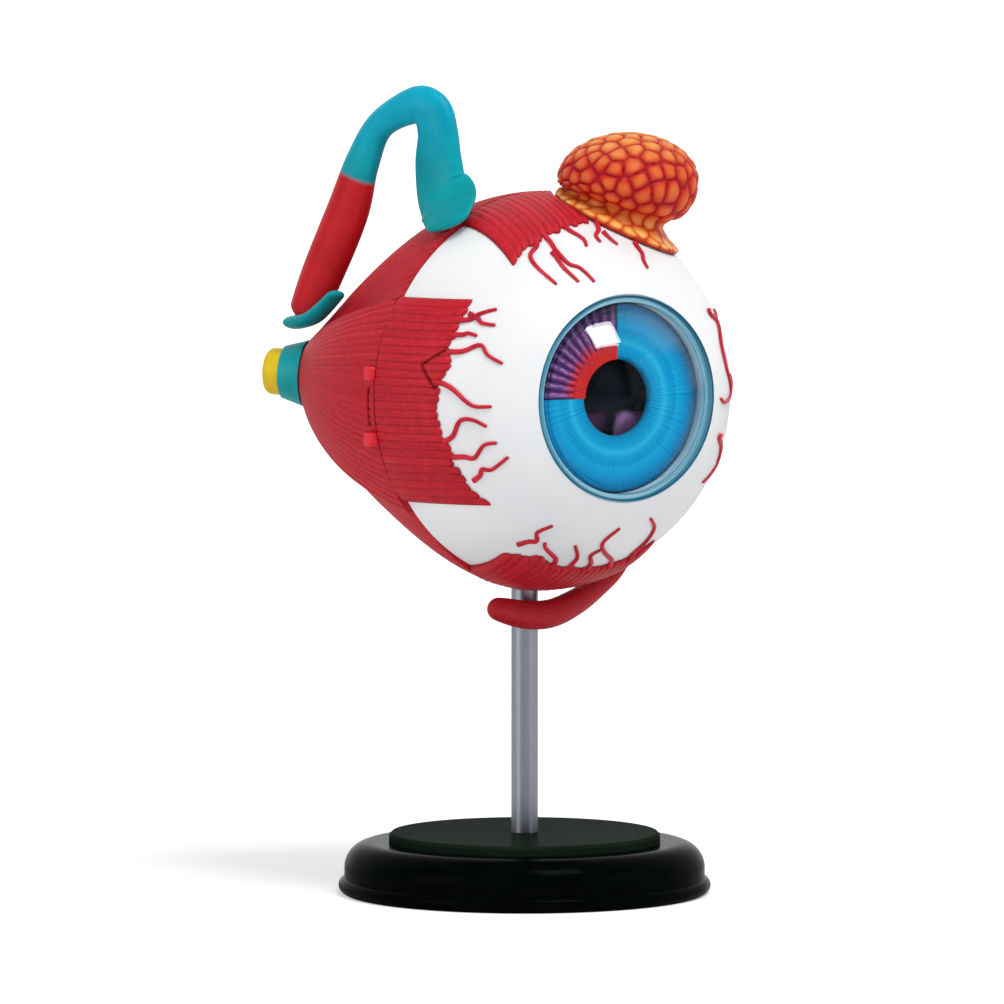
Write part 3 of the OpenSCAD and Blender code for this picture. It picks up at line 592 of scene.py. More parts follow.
def make_rear_fans(red):
    """The four fans behind the seam, and the studs on the medial one."""
    medial = strap("medial_muscle", [234, 299], [141, 40], [1.5, 3], 0.15, 0, 3, rows=40, dips=[slit_dip])
    dress(medial, "medial_rectus", "muscle_red", red, "medial_rectus")
    bright = Net("stud_red", roughness=0.35)
    bright.colour(bright.ramp(bright.noise(400), [(0.3, srgb(226, 34, 50)), (0.7, srgb(240, 48, 64))]))
    for number, low in ((1, 4.3), (2, -7.9)):
        points, faces = stud(low, 2.6)
        piece = new_object(f"medial_stud_{number}", points, faces, sharp=35)
        dress(piece, "medial_rectus", "muscle_red", bright.mat)
    lateral = strap("lateral_muscle", [56, 123], [316, 224], [5, 6.5], 0.9, 0.3, 4, per_rib=6, rows=48)
    dress(lateral, "lateral_rectus", "muscle_red", red, "lateral_rectus")
    superior = strap("superior_muscle", [302, 390], [33, -32], [5, 6.5], 0.9, 0.3, 5)
    cut_out(superior, GLAND_DIR, GLAND_HOLE_R, 20, 60)
    dress(superior, "superior_rectus", "muscle_red", red, "superior_rectus")
    inferior = strap("inferior_muscle", [134, 231], [214, 154], [5, 6.5], 0.9, 0.75, 6)
    cut_out(inferior, (0, 0, 1), ROD_HOLE_R, -60, -20, (0, -CENTRE[1], 0))
    dress(inferior, "globe", "muscle_red", red, "inferior_rectus")


def make_insertions(red):
    """The four insertions; an edge has [place across, reach in front of the seam] rows."""
    medial_edge = [(-19.5, 20.4), (-14.8, 18.5), (-8.8, 17.9), (-3.2, 16.7), (1.9, 16.9), (7, 19), (9.2, 18),
                   (18.4, 18.4)]
    superior_edge = [(-18, 20.6), (-14.4, 19.2), (-7.9, 18.6), (-1.6, 18), (4.3, 15.7), (18, 18)]
    lateral_edge = [(-16, 9.5), (-9, 10.8), (-2, 9.2), (6, 10.6), (16, 10)]
    inferior_edge = [(-13.5, 20.4), (-9, 17.5), (-1, 17), (7.6, 17.2), (11.2, 18.5), (16.6, 14.5)]
    front = insertion("medial_fringe", 270, medial_edge, 11, rows=64, dips=[flap_dip])
    dress(front, "front", "muscle_red", red, "medial_rectus_insertion")
    front = insertion("lateral_fringe", 90, lateral_edge, 12)
    dress(front, "front", "muscle_red", red, "lateral_rectus_insertion")
    front = insertion("superior_fringe", 0, superior_edge, 13)
    cut_out(front, GLAND_DIR, GLAND_HOLE_R, 20, 60)
    dress(front, "front", "muscle_red", red, "superior_rectus_insertion")
    front = insertion("inferior_fringe", 180, inferior_edge, 14)
    dress(front, "front", "muscle_red", red, "inferior_rectus_insertion")


# ---------- oblique muscles

SUPERIOR_ROUTE = [
    [-30.5, 34.2, 12.4, 7.2, 5.6], [-28.8, 30.3, 21, 8.8, 6.6], [-26.5, 24.8, 33, 9, 6.4],
    [-25.2, 21.6, 42.2, 7.2, 5.6], [-23.6, 17.6, 49.4, 5.8, 5.2], [-20.8, 10, 53.2, 7.2, 5.2],
    [-19.3, 6.4, 52, 8.6, 5.2], [-18.8, 5.1, 48.2, 9, 5], [-18.6, 5.1, 42.6, 10.8, 4.4],
    [-18.8, 3.7, 37.8, 11.6, 3.6], [-19.7, -0.2, 34.8, 12.4, 2.8], [-22.7, -4.1, 31, 8, 2],
]
TENDON_START = 2.7
FOOT_START = 8
ORIGIN_ROUTE = [[-32, 36.6, 11.8, 6, 3], [-31.7, 28.8, 13.2, 5.2, 2.6], [-30.8, 21, 18.2, 4.2, 2]]
INFERIOR_ROUTE = [
    [-13, -3.6, -39.7, 3.6, 3.8], [-9.4, -3.2, -40.7, 5, 5], [-4, -2.7, -41.8, 5.4, 5.6],
    [1.2, -2.4, -41.8, 5.4, 5.6], [7, -0.8, -40.4, 5.4, 5.2], [13, 1.7, -38.2, 5.6, 4.4],
    [19.7, 5.2, -34.8, 6.2, 3.6], [25.4, 9.6, -29, 6.4, 3], [28.8, 13.6, -23.6, 5.6, 2.2],
]


def oblique_material(name):
    """Painted muscle that turns softly from red to teal, by the piece's own "teal" share."""
    net = Net(name, roughness=0.36, specular=0.12)
    cloud = net.noise(110, 4.0, None, 0.6)
    grain = net.noise(420, 3.0)
    share = net.math("ADD", net.attribute("teal"), net.math("MULTIPLY_ADD", cloud, 0.4, -0.2))
    red = net.ramp(cloud, [(0.3, srgb(176, 24, 32)), (0.7, srgb(206, 32, 38))])
    # Painted light: the teal is lighter and bluer towards the arch's top.
    painted_light_share = net.attribute("height")
    low_teal = net.ramp(cloud, [(0.3, srgb(4, 140, 146)), (0.7, srgb(8, 158, 166))])
    teal_painted_light = net.ramp(cloud, [(0.3, srgb(2, 150, 176)), (0.7, srgb(10, 180, 208))])
    teal = net.mix(painted_light_share, low_teal, teal_painted_light)
    step = net.ramp(share, [(0.2, BLACK), (0.8, WHITE)], smooth=True)
    net.colour(net.mix(step, red, teal))
    net.rough(grain, 0.3, 0.44)
    net.bump(grain, 0.1, 0.0004)
    return net.mat


def paint_layers(points, teal):
    """Attributes of the superior oblique: share of teal, and height towards the arch's top, where the teal is
    painted lighter and bluer as painted light from above.
    """
    height = np.clip((points[:, 2] - 38) / 14, 0, 1)
    return {"teal": teal, "height": height}


def superior_part(name, t, side, ends):
    """The superior oblique between places t of its route, teal from the start of the tendon."""
    around = 64
    points, faces = loft(swept(SUPERIOR_ROUTE, t, side, around, ends))
    teal = np.clip((t - TENDON_START) / 0.24 + 0.5, 0, 1).repeat(around)
    return new_object(name, points, faces, paint_layers(points, teal))


def make_superior_oblique():
    paint = oblique_material("oblique_paint")
    last = len(SUPERIOR_ROUTE) - 1
    a = np.array(SUPERIOR_ROUTE[0][:2])
    b = np.array(SUPERIOR_ROUTE[-3][:2])
    normal = unit([b[1] - a[1], a[0] - b[0], 0])
    belly = superior_part("superior_oblique_belly", eased(0, TENDON_START, 72), normal, (2.2, 0))
    dress(belly, "superior_oblique", "muscle_red", paint, "superior_oblique")
    t = eased(TENDON_START, last, 170)
    turned = np.maximum(0, (t - FOOT_START) / (last - FOOT_START))[:, None]
    side = normal + (unit(SUPERIOR_ROUTE[-1][:3]) - normal) * turned
    tendon = superior_part("superior_oblique_loop", t, side, (0, 1.3))
    dress(tendon, "superior_oblique", "tendon_teal", paint, "superior_oblique_tendon")
    t = eased(0, len(ORIGIN_ROUTE) - 1, 40)
    points, faces = loft(swept(ORIGIN_ROUTE, t, NERVE_UP, 40, (2.4, 1.2)))
    link = new_object("superior_oblique_link", points, faces, paint_layers(points, np.full(len(points), 2.0)))
    dress(link, "superior_oblique", "tendon_teal", paint, "superior_oblique_origin")


def make_inferior_oblique():
    # A copy of the muscle red, 6% darker: painted shade on the muscle under the globe.
    red = muscle_material("oblique_red_painted_shade", 0.94)
    t = eased(0, len(INFERIOR_ROUTE) - 1, 130)
    around = 120
    rings = swept(INFERIOR_ROUTE, t, np.array([0.2, 0, -1]), around, (1.9, 1.2), 0.06, 30)
    points, faces = loft(rings)
    a = np.tile(np.linspace(0, 2 * np.pi, around, endpoint=False), len(t))
    # The rib value darkens the grooves around the muscle a little: painted shade.
    layers = {"rib": 0.35 + 0.6 * np.abs(np.sin(a * 15)), "tone": 0.5 + 0.5 * np.sin(5 * a),
              "fibre": np.stack([a * 5, t.repeat(around) * 4, a * 0], -1)}
    low = new_object("inferior_oblique_muscle", points, faces, layers)
    dress(low, "inferior_oblique", "muscle_red", red, "inferior_oblique")


# ---------- lacrimal gland

GLAND_WIDE = 12.5
GLAND_BELLY = 7.0
GLAND_RISE = 8.2
GLAND_LEAN = 25.0
GLAND_FILL = 0.8
GLAND_SEAT = GLOBE_R + GAP
LOBE_H = 0.8


def gland_outline():
    """Outline of the gland from its skirt to its top: radius and height from the globe's centre."""
    rows = [(GLAND_WIDE, math.sqrt(GLAND_SEAT ** 2 - GLAND_WIDE ** 2) + 1)]
    for a in (-52, -30, -8, 16, 38, 58, 76, 90):
        tall = GLAND_BELLY if a < 0 else GLAND_RISE
        c = max(0.001, math.cos(math.radians(a)))
        rows.append((GLAND_WIDE * c, GLOBE_R + GLAND_BELLY + math.sin(math.radians(a)) * tall))
    return np.array(rows)


def bent(q):
    """Bends the gland's axis up to its widest place, as the CAD source does."""
    lean = math.radians(GLAND_LEAN)
    h = q[..., 2] - GLOBE_R
    a = lean * np.clip(h / GLAND_BELLY, 0, 1)
    r = GLAND_BELLY / lean
    on = np.where(h < 0, h, np.maximum(0, h - GLAND_BELLY))
    x = q[..., 0] * np.cos(a) - r * (1 - np.cos(a)) - on * np.sin(a)
    z = GLOBE_R + q[..., 0] * np.sin(a) + r * np.sin(a) + on * np.cos(a)
    return np.stack([x, q[..., 1], z], -1)


def along_gland(p):
    """Turns the gland's own Z axis into its direction from the globe's centre."""
    polar = math.acos(GLAND_DIR[2])
    azimuth = math.atan2(GLAND_DIR[1], GLAND_DIR[0])
    turn = Matrix.Rotation(azimuth, 3, "Z") @ Matrix.Rotation(polar, 3, "Y")
    return p @ np.array(turn).T


def filled(q):
    """Fills the waist of the gland out on its nasal side, as the CAD source does."""
    r = np.maximum(np.hypot(q[..., 0], q[..., 1]), 1e-6)
    share = np.where(q[..., 2] < GLOBE_R + GLAND_BELLY, np.maximum(0, -q[..., 0] / r), 0)
    out = q.copy()
    out[..., 0] *= 1 + GLAND_FILL * share * (GLAND_WIDE / r - 1)
    return out


def gland_seeds(outline, pitch, rng):
    """Middles of the lobes: scattered at random over the outline, none nearer than pitch."""
    t = np.linspace(0, len(outline) - 1, 600)
    line = curve(outline, t)
    step = np.linalg.norm(np.diff(line, axis=0), axis=1)
    weight = np.concatenate([[0], np.cumsum(step * line[1:, 0])])
    seeds = []
    for _ in range(9000):
        where = np.interp(rng.random() * weight[-1], weight, t)
        r, z = curve(outline, [where])[0]
        a = rng.random() * 2 * math.pi
        seed = filled(np.array([r * math.cos(a), r * math.sin(a), z]))
        if all(np.linalg.norm(seed - other) > pitch for other in seeds):
            seeds.append(seed)
    return np.array(seeds)


def gland_material():
    """Orange lobes in red grooves. The grooves are painted darker, as painted shade, and the crests yellower,
    as a painted highlight; the top and the skirt are painted paler, as painted light.
    """
    net = Net("gland_orange", roughness=0.4, specular=0.14)
    lobe = net.attribute("lobe")
    own = net.attribute("tone")
    pale = net.attribute("pale")
    grain = net.noise(700, 3.0)
    height = net.math("ADD", lobe, net.math("MULTIPLY_ADD", grain, 0.24, -0.12))
    # Painted shade and highlight: darkest red in the grooves, yellowest on the crests, in both ramps.
    body = net.ramp(height, [(0.0, srgb(146, 14, 26)), (0.4, srgb(182, 24, 32)), (0.62, srgb(200, 50, 36)),
                             (0.85, srgb(214, 84, 42)), (1.0, srgb(226, 112, 54))])
    light = net.ramp(height, [(0.0, srgb(194, 52, 34)), (0.35, srgb(218, 88, 44)), (0.6, srgb(240, 146, 66)),
                              (0.85, srgb(250, 180, 92)), (1.0, srgb(254, 206, 120))])
    base = net.mix(pale, body, light)
    net.colour(net.mix(net.math("MULTIPLY", own, 0.3), base, srgb(236, 120, 60), "MULTIPLY"))
    net.rough(grain, 0.32, 0.48)
    net.bump(grain, 0.1, 0.0003)
    return net.mat


def make_gland():
    rng = np.random.default_rng(21)
    outline = gland_outline()
    ends = len(outline) - 1
    around = 300
    rows = 130
    t = np.linspace(0, ends, rows)
    line = curve(outline, t)
    line[:, 0] = np.maximum(line[:, 0], 0.01)
    a = np.linspace(0, 2 * np.pi, around, endpoint=False)
    q = filled(np.stack([line[:, :1] * np.cos(a), line[:, :1] * np.sin(a),
                         np.broadcast_to(line[:, 1:], (rows, around))], -1))
    seeds = gland_seeds(outline, 2.5, rng)
    own = rng.random(len(seeds))
    gap = np.linalg.norm(q[:, :, None, :] - seeds, axis=-1)
    nearest = gap.argmin(-1)
    gap.sort(-1)
    border = np.clip((gap[..., 1] - gap[..., 0]) / 1.9, 0, 1)
    dome = np.clip(1 - (gap[..., 0] / 2.4) ** 2, 0, 1)
    lobe = np.sqrt(border * (2 - border)) * (0.5 + 0.5 * dome)
    skirt = np.clip(t / 0.5, 0, 1)[:, None]
    middle = np.array([0, 0, GLOBE_R + GLAND_BELLY])
    over = q + unit(q - middle) * (LOBE_H * lobe * (0.35 + 0.65 * skirt))[..., None]
    inner = np.linspace(0.02, 1, 16)[:, None]
    flat = np.stack([GLAND_WIDE * inner * np.cos(a), GLAND_WIDE * inner * np.sin(a),
                     np.broadcast_to(np.sqrt(GLAND_SEAT ** 2 - (GLAND_WIDE * inner) ** 2), (16, around))], -1)
    rings = np.concatenate([flat, bent(over)])
    points, faces = loft(along_gland(rings))
    # The crown and the foot are painted paler: painted light.
    crown = np.clip((line[:, 1] - (GLOBE_R + 10)) / 4, 0, 1)
    foot = 1 - np.clip((t - 0.4) / 1.2, 0, 1)
    pale = np.broadcast_to(np.maximum(0.5 * crown, foot)[:, None], lobe.shape)
    under = np.zeros(flat.shape[:2])
    layers = {"lobe": np.concatenate([under, lobe]).ravel(), "pale": np.concatenate([under, pale]).ravel(),
              "tone": np.concatenate([under, own[nearest]]).ravel()}
    piece = new_object("gland_lobes", points, faces, layers, sharp=70)
    dress(piece, "gland", "gland_orange", gland_material(), "lacrimal_gland")


# ---------- vessels

VESSELS = [
    [[58, 299], [56, 302], [52, 306]], [[56, 300], [54, 299], [50, 300]],
    [[58.5, 293], [57, 294], [54, 294]], [[58, 287], [56, 288], [52, 291], [49, 288], [44, 286]],
    [[60, 275], [57, 273], [54, 270], [51, 268], [46, 268]],
    [[59, 258], [56, 263], [52, 263], [48, 260]], [[57, 250], [54, 249], [50, 253], [46, 253]],
    [[54.5, 242], [53, 244], [50, 243], [44, 246]],
    [[58, 336], [56, 331], [51, 329], [43, 329]], [[57, 341], [53, 340], [47, 340], [44, 343], [38, 345]],
    [[51, 338], [46, 337], [40, 338]], [[58.5, 351], [54, 353], [51, 352]],
    [[58, 2], [55, -1], [52, -1]], [[54, 4], [51, 6]],
    [[51.5, 15.5], [49, 16.5], [46, 16], [43, 17]],
    [[48, 57], [52, 63], [46, 69], [45, 75], [46, 81], [51, 90], [42, 94], [37, 92]],
    [[70, 66], [61, 62], [52, 63]], [[72, 84], [61, 86], [51, 90]], [[70, 113], [63, 112], [55, 117]],
    [[42, 110], [49, 112], [55, 117], [53, 121], [47, 129]],
    [[57, 209], [55, 207], [52, 210], [47, 208]], [[59, 195], [56, 202], [54, 204]],
    [[60, 187], [56, 188], [51, 193]], [[59.5, 180], [55, 183], [52, 181]],
    [[59, 172], [49, 182], [42, 178]], [[58, 162], [53, 159], [47, 158], [41, 162]],
]


def vessel(route):
    """Smooth half-round vessel along a route of [angle from the line of sight, clock angle],
    with its root drawn out under the muscle's edge."""
    route = np.asarray(route, float)
    back = route[0] - route[1]
    back /= math.hypot(back[0], back[1] * math.sin(math.radians(route[0, 0])))
    root = 1.8 + 0.25 * max(0, route[0, 0] - 50)
    route = np.concatenate([[route[0] + root * unit(back + [1.2, 0])], route])
    last = len(route) - 1
    t = np.concatenate([np.linspace(0, last * 0.97, 14 * last), last * np.array([0.98, 0.99, 0.996, 1.0])])

    def out_at(t):
        angle, clock = np.radians(curve(route, np.clip(t, 0, last))).T
        return np.stack([np.sin(angle) * np.sin(clock), -np.cos(angle), np.sin(angle) * np.cos(clock)], -1)

    out = out_at(t)
    run = unit(out_at(t + 0.02) - out_at(t - 0.02))
    wide = np.cross(out, run)
    share = t / last
    tip = np.sqrt(np.clip(1 - ((share - 0.965) / 0.036).clip(0, 1) ** 2, 0.01, 1))
    w = 0.54 * (1 - 0.42 * share) * tip
    h = 0.55 * (1 - 0.4 * share) * tip
    a = np.linspace(0, np.pi, 11)
    across = np.concatenate([np.cos(a), [-0.5, 0.5]])
    up = np.concatenate([np.sin(a) ** 0.8, [-0.12, -0.12]])
    rings = (out[:, None] * (GLOBE_R + 0.1 + (h[:, None] * up))[..., None]
             + wide[:, None] * (w[:, None] * across)[..., None])
    return loft(rings)


def make_vessels():
    net = Net("vessel_red", roughness=0.38)
    cloud = net.noise(260, 3.0)
    net.colour(net.ramp(cloud, [(0.3, srgb(176, 20, 40)), (0.7, srgb(216, 42, 62))]))
    net.rough(cloud, 0.28, 0.42)
    points = []
    faces = []
    for route in VESSELS:
        own_points, own_faces = vessel(route)
        start = sum(len(p) for p in points)
        points.append(own_points)
        faces += [[i + start for i in face] for face in own_faces]
    piece = new_object("vessel_relief", np.concatenate(points), faces, sharp=80)
    dress(piece, "front", "vessel_red", net.mat, "conjunctival_vessels")


# ---------- iris

IRIS_FRONT = 27.41
IRIS_REAR = 26.21
IRIS_R = 17.4
PUPIL_R = 7.05
SPHINCTER_R = 9.65
FIBRES = 26
FINE_FIBRES = 60


def polar_plate(name, start, end, radii, height, layers):
    """Closed plate behind the cornea: a polar grid between clock angles, with a relief."""
    clock = np.radians(np.linspace(start, end, max(2, int((end - start) * 3))))
    r, c = np.meshgrid(radii, clock, indexing="ij")
    top = np.stack([r * np.sin(c), -height(r, c), r * np.cos(c)], -1)
    bottom = top.copy()
    bottom[..., 1] = -IRIS_REAR
    points, faces = skin(top, bottom)
    values = {}
    for key, function in layers.items():
        v = function(r, c).reshape(-1, *((3,) if key == "polar" else ()))
        values[key] = np.concatenate([v, v])
    return new_object(name, points, faces, values, sharp=60)


def iris_polar(r, c):
    return np.stack([np.sin(c) * 3, np.cos(c) * 3, r / IRIS_R], -1)


def iris_relief(r, c):
    """Front of the iris: fine radial ridges, a raised ring and a rounded pupil's edge."""
    streak = 0.5 * np.sin(97 * c + 3 * np.sin(5 * c)) + 0.5 * np.sin(61 * c + 2 * np.sin(11 * c) + 0.3 * r)
    ring = np.exp(-((r - 10.7) / 0.9) ** 2)
    edge = np.clip((PUPIL_R + 0.6 - r) / 0.6, 0, 1)
    return IRIS_FRONT - 0.12 + 0.06 * streak + 0.14 * ring - 0.5 * edge ** 2


def iris_material():
    net = Net("iris_blue", roughness=0.36, specular=0.06)
    polar = net.vector("polar")
    fine = net.noise(24, 4.0, polar, 0.65)
    broad = net.noise(4, 2.0, polar)
    radius = net.attribute("radius")
    wobbly = net.math("ADD", radius, net.math("MULTIPLY_ADD", fine, 0.08, -0.04))
    # The last stops darken the iris's outer edge: painted shade under the cornea's flange.
    rings = net.ramp(wobbly, [
        (0.38, srgb(0, 100, 140)), (0.45, srgb(0, 150, 198)), (0.54, srgb(2, 168, 216)),
        (0.59, srgb(50, 196, 226)), (0.64, srgb(4, 170, 218)), (0.72, srgb(2, 158, 208)),
        (0.76, srgb(10, 176, 224)), (0.88, srgb(0, 152, 204)), (0.97, srgb(0, 110, 158)),
        (1.0, srgb(0, 64, 96))])
    streaks = net.ramp(fine, [(0.3, srgb(180, 220, 232)), (0.7, WHITE)])
    streaked = net.mix(0.7, rings, streaks, "MULTIPLY")
    net.colour(net.mix(net.math("MULTIPLY", broad, 0.25), streaked, srgb(6, 160, 212)))
    net.rough(fine, 0.3, 0.45)
    net.bump(fine, 0.2, 0.0003)
    return net.mat


def fibre_relief(r, c):
    """Cut-away quarter: a raised sphincter ring, then radial fibres on a lower plate."""
    sphincter = np.clip((SPHINCTER_R - r) / 0.25, 0, 1)
    ribs = np.abs(np.sin(c * FIBRES)) ** 0.7
    fine = np.abs(np.sin(c * FINE_FIBRES)) ** 0.6
    low = IRIS_REAR + 0.6 + 0.38 * ribs
    return low * (1 - sphincter) + (IRIS_FRONT - 0.15 + 0.12 * fine) * sphincter


def fibre_material():
    """Red sphincter whose tongues run out between purple and blue fibres. The grooves between fibres are
    painted darker, as painted shade, and the crests carry pale streaks of painted highlight.
    """
    net = Net("iris_fibres", roughness=0.38, specular=0.1)
    polar = net.vector("polar")
    fine = net.noise(14, 3.0, polar, 0.6)
    broad = net.noise(7, 2.0, polar)
    rib = net.attribute("rib")
    radius = net.attribute("radius")
    reach = net.math("MULTIPLY_ADD", fine, 0.5, -0.25)
    ring = net.ramp(net.math("SUBTRACT", radius, reach), [(0.55, WHITE), (0.66, BLACK)])
    # By the rib value, the grooves of the sphincter and of the fibres are painted darker: painted shade.
    red = net.ramp(rib, [(0.1, srgb(176, 28, 34)), (0.9, srgb(232, 52, 46))])
    warm = net.mix(broad, srgb(60, 66, 150), srgb(170, 62, 104))
    purple = net.mix(rib, srgb(58, 36, 84), warm)
    # Pale streaks on the crests: painted highlight.
    pale = net.ramp(net.math("MULTIPLY", rib, fine), [(0.4, BLACK), (0.6, (0.75, 0.75, 0.75, 1))])
    outer = net.mix(pale, purple, srgb(186, 150, 200))
    shade = net.ramp(radius, [(0.8, WHITE), (1.0, srgb(70, 60, 90))])
    net.colour(net.mix(ring, net.mix(0.9, outer, shade, "MULTIPLY"), red))
    net.rough(fine, 0.3, 0.45)
    net.bump(fine, 0.2, 0.0003)
    return net.mat


def make_iris():
    radii = np.unique(np.concatenate([np.linspace(PUPIL_R, 8, 8), np.linspace(8, IRIS_R, 40)]))
    layers = {"polar": iris_polar, "radius": lambda r, c: r / IRIS_R}
    disc = polar_plate("iris_disc", 0, 270, radii, iris_relief, layers)
    dress(disc, "iris", "iris_blue", iris_material(), "iris")
    radii = np.unique(np.concatenate([np.linspace(PUPIL_R, 9.4, 8), np.linspace(9.4, SPHINCTER_R, 4),
                                      np.linspace(SPHINCTER_R, IRIS_R, 24)]))
    layers["rib"] = lambda r, c: np.abs(np.sin(c * np.where(r < SPHINCTER_R, FINE_FIBRES, FIBRES)))
    quarter = polar_plate("iris_fibre_quarter", 270.35, 359.65, radii, fibre_relief, layers)
    dress(quarter, "iris", "iris_fibres", fibre_material(), "iris_muscles")


# ---------- materials of the CAD pieces

def speckled(name, dark, light, scale, rough, specular=0.2, ior=1.5, bump=0.1, depth=0.0003):
    """Moulded or painted plastic with a slight drift of colour, gloss and surface."""
    net = Net(name, specular=specular, ior=ior)
    cloud = net.noise(scale, 3.0)
    grain = net.noise(scale * 9, 2.0)
    net.colour(net.ramp(cloud, [(0.3, dark), (0.7, light)]))
    net.rough(grain, *rough)
    net.bump(grain, bump, depth)
    return net.mat


def rod_material():
    """Satin metal, drawn along its length."""
    net = Net("satin_rod", specular=0.5)
    net.shader.inputs["Metallic"].default_value = 1.0
    drawn = net.noise(1.0, 3.0, net.place((2400, 2400, 12)))
    net.colour(net.ramp(drawn, [(0.3, srgb(146, 147, 156)), (0.7, srgb(164, 166, 176))]))
    net.rough(drawn, 0.3, 0.4)
    net.bump(drawn, 0.04, 0.0001)
    return net.mat


def retina_material():
    """Orange-red inner coat with a branching pattern of darker vessels."""
    net = Net("retina_orange", roughness=0.4)
    cloud = net.noise(60, 3.0)
    base = net.ramp(cloud, [(0.3, srgb(222, 128, 70)), (0.7, srgb(236, 156, 96))])
    cells = net.add("TexVoronoi", feature="DISTANCE_TO_EDGE", Scale=140.0)
    warp = net.add("Mix", data_type="VECTOR", Factor=0.012)
    twist = net.add("TexNoise", Scale=130.0)
    coords = net.place()
    net.links.new(coords, twist.inputs["Vector"])
    net.links.new(coords, warp.inputs[4])
    net.links.new(twist.outputs["Color"], warp.inputs[5])
    net.links.new(warp.outputs[1], cells.inputs["Vector"])
    lines = net.ramp(cells.outputs["Distance"], [(0.02, WHITE), (0.06, BLACK)])
    net.colour(net.mix(net.math("MULTIPLY", lines, 0.7), base, srgb(170, 36, 26)))
    net.rough(cloud, 0.35, 0.5)
    return net.mat


def clear_material(name, tint, edge, gloss, rim=None):
    """Clear plastic: light goes straight through, tinted more where the wall is seen edge-on,
    but for a share of gloss that rises there too. The rim has stops of tint by the distance
    from the line of sight, as a share of the globe's radius; its dark stops are painted shade
    of the flange's walls seen edge-on."""
    net = Net(name, roughness=0.03, specular=1.0)
    grain = net.noise(60, 2.0)
    facing = net.add("LayerWeight", Blend=0.5).outputs["Facing"]
    net.shader.inputs["Metallic"].default_value = 1.0
    net.colour(net.ramp(grain, [(0.3, (0.94, 0.96, 0.97, 1)), (0.7, WHITE)]))
    net.rough(grain, 0.02, 0.05)
    see = net.add("BsdfTransparent")
    colour = net.ramp(facing, [(0.0, tint), (0.5, tint), (0.85, edge), (1.0, edge)])
    if rim:
        split = net.add("SeparateXYZ", Vector=net.place())
        height = net.math("SUBTRACT", split.outputs["Z"], CENTRE[2] * MM)
        sideways = net.math("MULTIPLY", split.outputs["X"], split.outputs["X"])
        square = net.math("MULTIPLY_ADD", height, height, sideways)
        far = net.math("DIVIDE", net.math("SQRT", square), GLOBE_R * MM)
        colour = net.mix(1.0, colour, net.ramp(far, rim), "MULTIPLY")
    net.links.new(colour, see.inputs["Color"])
    share = net.ramp(facing, [(place, (value, value, value, 1)) for place, value in gloss])
    if rim:
        upward = net.add("SeparateXYZ", Vector=net.add("NewGeometry").outputs["Normal"]).outputs["Z"]
        glint = net.ramp(upward, [(0.34, BLACK), (0.46, (0.05, 0.05, 0.05, 1))])
        share = net.math("MAXIMUM", share, glint)
    net.links.new(net.mix_shaders(share, see, net.shader).outputs[0], net.out.inputs["Surface"])
    return net.mat


def lens_material():
    """Smoky lens: black through the pupil, with a purple painted reflection below the middle."""
    net = Net("smoky_lens", specular=0.05)
    coords = net.add("TexCoord")
    split = net.add("SeparateXYZ", Vector=coords.outputs["Object"])
    cloud = net.noise(260, 3.0)
    drift = net.math("MULTIPLY_ADD", cloud, 0.0016, -0.0008)
    x = net.math("ADD", split.outputs["X"], drift)
    drop = net.math("ADD", net.math("SUBTRACT", CENTRE[2] * MM, split.outputs["Z"]), drift)
    low = net.math("MULTIPLY_ADD", drop, 900.0, -2.2)
    right = net.math("MULTIPLY_ADD", x, 1100.0, -0.9)
    left = net.math("MULTIPLY_ADD", x, -500.0, -0.2)
    for share in (low, right, left):
        share.node.use_clamp = True
    black = net.ramp(cloud, [(0.3, srgb(4, 6, 12)), (0.7, srgb(14, 18, 28))])
    # Purple patch low on the lens, brighter to the right and dim to the left: painted reflection.
    plum_painted_reflection = net.ramp(cloud, [(0.3, srgb(120, 82, 130)), (0.7, srgb(160, 120, 166))])
    dim_painted_reflection = net.mix(net.math("MULTIPLY", net.math("MULTIPLY", low, left), 0.8), black, srgb(84, 46, 78))
    net.colour(net.mix(net.math("MULTIPLY", low, right), dim_painted_reflection, plum_painted_reflection))
    net.rough(cloud, 0.2, 0.35)
    return net.mat


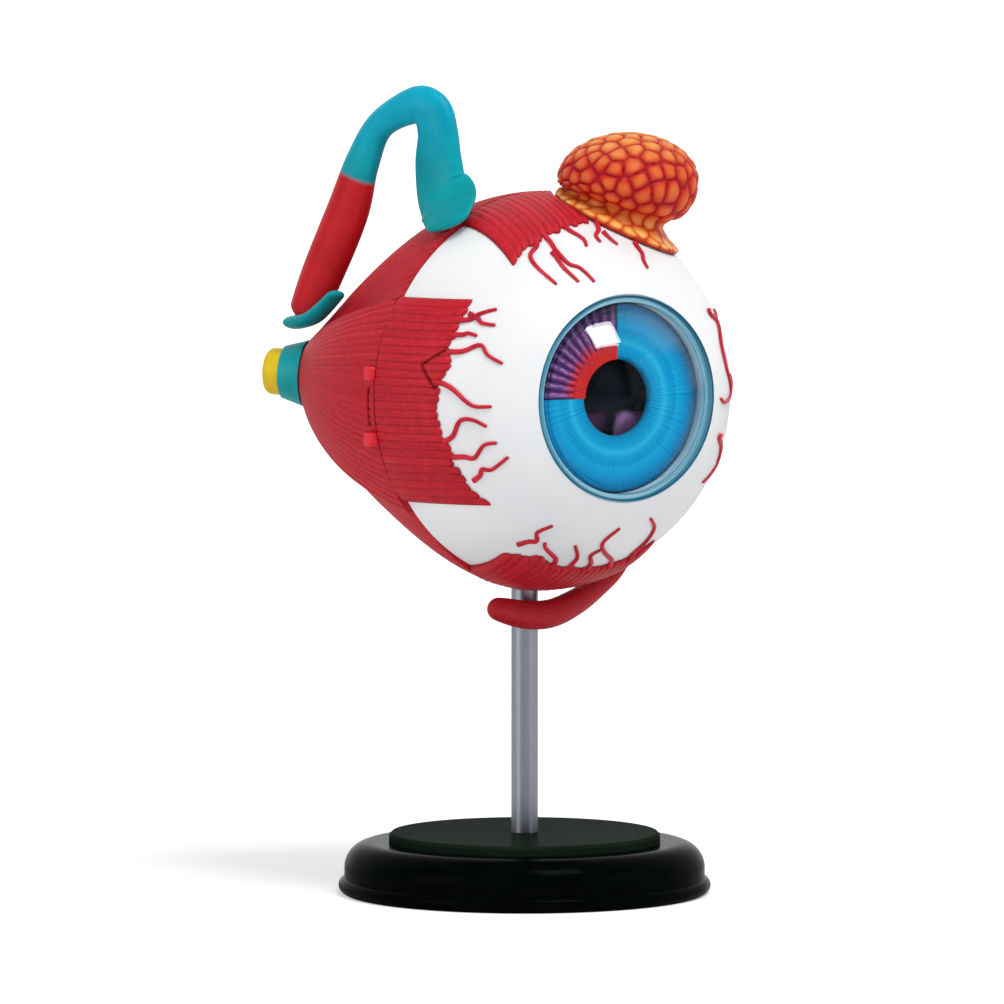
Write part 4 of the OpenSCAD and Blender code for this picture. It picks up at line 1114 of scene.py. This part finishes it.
def paint_cad():
    white = speckled("sclera_white", srgb(238, 239, 240), srgb(246, 246, 245), 50, (0.3, 0.4), 0.5, 1.5, 0.05)
    black = speckled("black_gloss", srgb(2, 4, 5), srgb(6, 9, 9), 80, (0.12, 0.2), 0.5, 1.05, 0.03, 0.0002)
    # The disc's dark green-grey stands in for its glossy reflection, with its own gloss nearly off: painted
    # reflection.
    disc = speckled("dark_disc", srgb(20, 32, 24), srgb(26, 38, 29), 60, (0.2, 0.3), 0.3, 1.01, 0.04, 0.0002)
    choroid = speckled("choroid_red", srgb(128, 34, 26), srgb(160, 54, 40), 120, (0.4, 0.6), bump=0.3)
    ciliary = speckled("ciliary_brown", srgb(84, 36, 26), srgb(116, 56, 40), 160, (0.35, 0.55), bump=0.3)
    yellow = speckled("nerve_yellow", srgb(216, 178, 18), srgb(240, 208, 36), 240, (0.35, 0.5), bump=0.3)
    teal = speckled("tendon_teal", srgb(4, 140, 144), srgb(10, 162, 166), 160, (0.3, 0.45), bump=0.2)
    tint = (0.97, 0.99, 1.0, 1)
    gloss = [(0, 0.02), (0.6, 0.04), (1, 0.4)]
    vitreous = clear_material("clear_vitreous", tint, (0.8, 0.93, 0.97, 1), gloss)
    gloss = [(0, 0.004), (0.5, 0.006), (0.8, 0.12), (1, 0.75)]
    # Thin dark teal lines at the flange's edges: painted shade of its walls seen edge-on.
    dark_rim_painted_shade = (0.3, 0.56, 0.66, 1)
    light_rim = (0.9, 0.97, 0.98, 1)
    rim = [(0.483, WHITE), (0.488, dark_rim_painted_shade), (0.495, light_rim), (0.511, light_rim), (0.52, dark_rim_painted_shade)]
    cornea = clear_material("clear_cornea", tint, (0.42, 0.68, 0.76, 1), gloss, rim)
    by_node = {
        "stand_base": black, "stand_disc": disc, "stand_rod": rod_material(),
        "sclera_rear": white, "sclera_front": white, "choroid_rear": choroid, "choroid_front": choroid,
        "retina": retina_material(), "vitreous_body": vitreous, "lens": lens_material(),
        "ciliary_body": ciliary, "cornea": cornea, "optic_nerve": yellow, "tendinous_ring": teal,
    }
    for name, material in by_node.items():
        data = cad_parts[name].data
        data.materials.clear()
        data.materials.append(material)


make_camera()
make_lights()
make_world()
make_floor()
paint_cad()
muscle_red = muscle_material("muscle_red")
make_rear_fans(muscle_red)
make_insertions(muscle_red)
make_superior_oblique()
make_inferior_oblique()
make_gland()
make_vessels()
make_iris()

scene = bpy.context.scene
scene.view_settings.view_transform = "Standard"

bpy.context.view_layer.update()
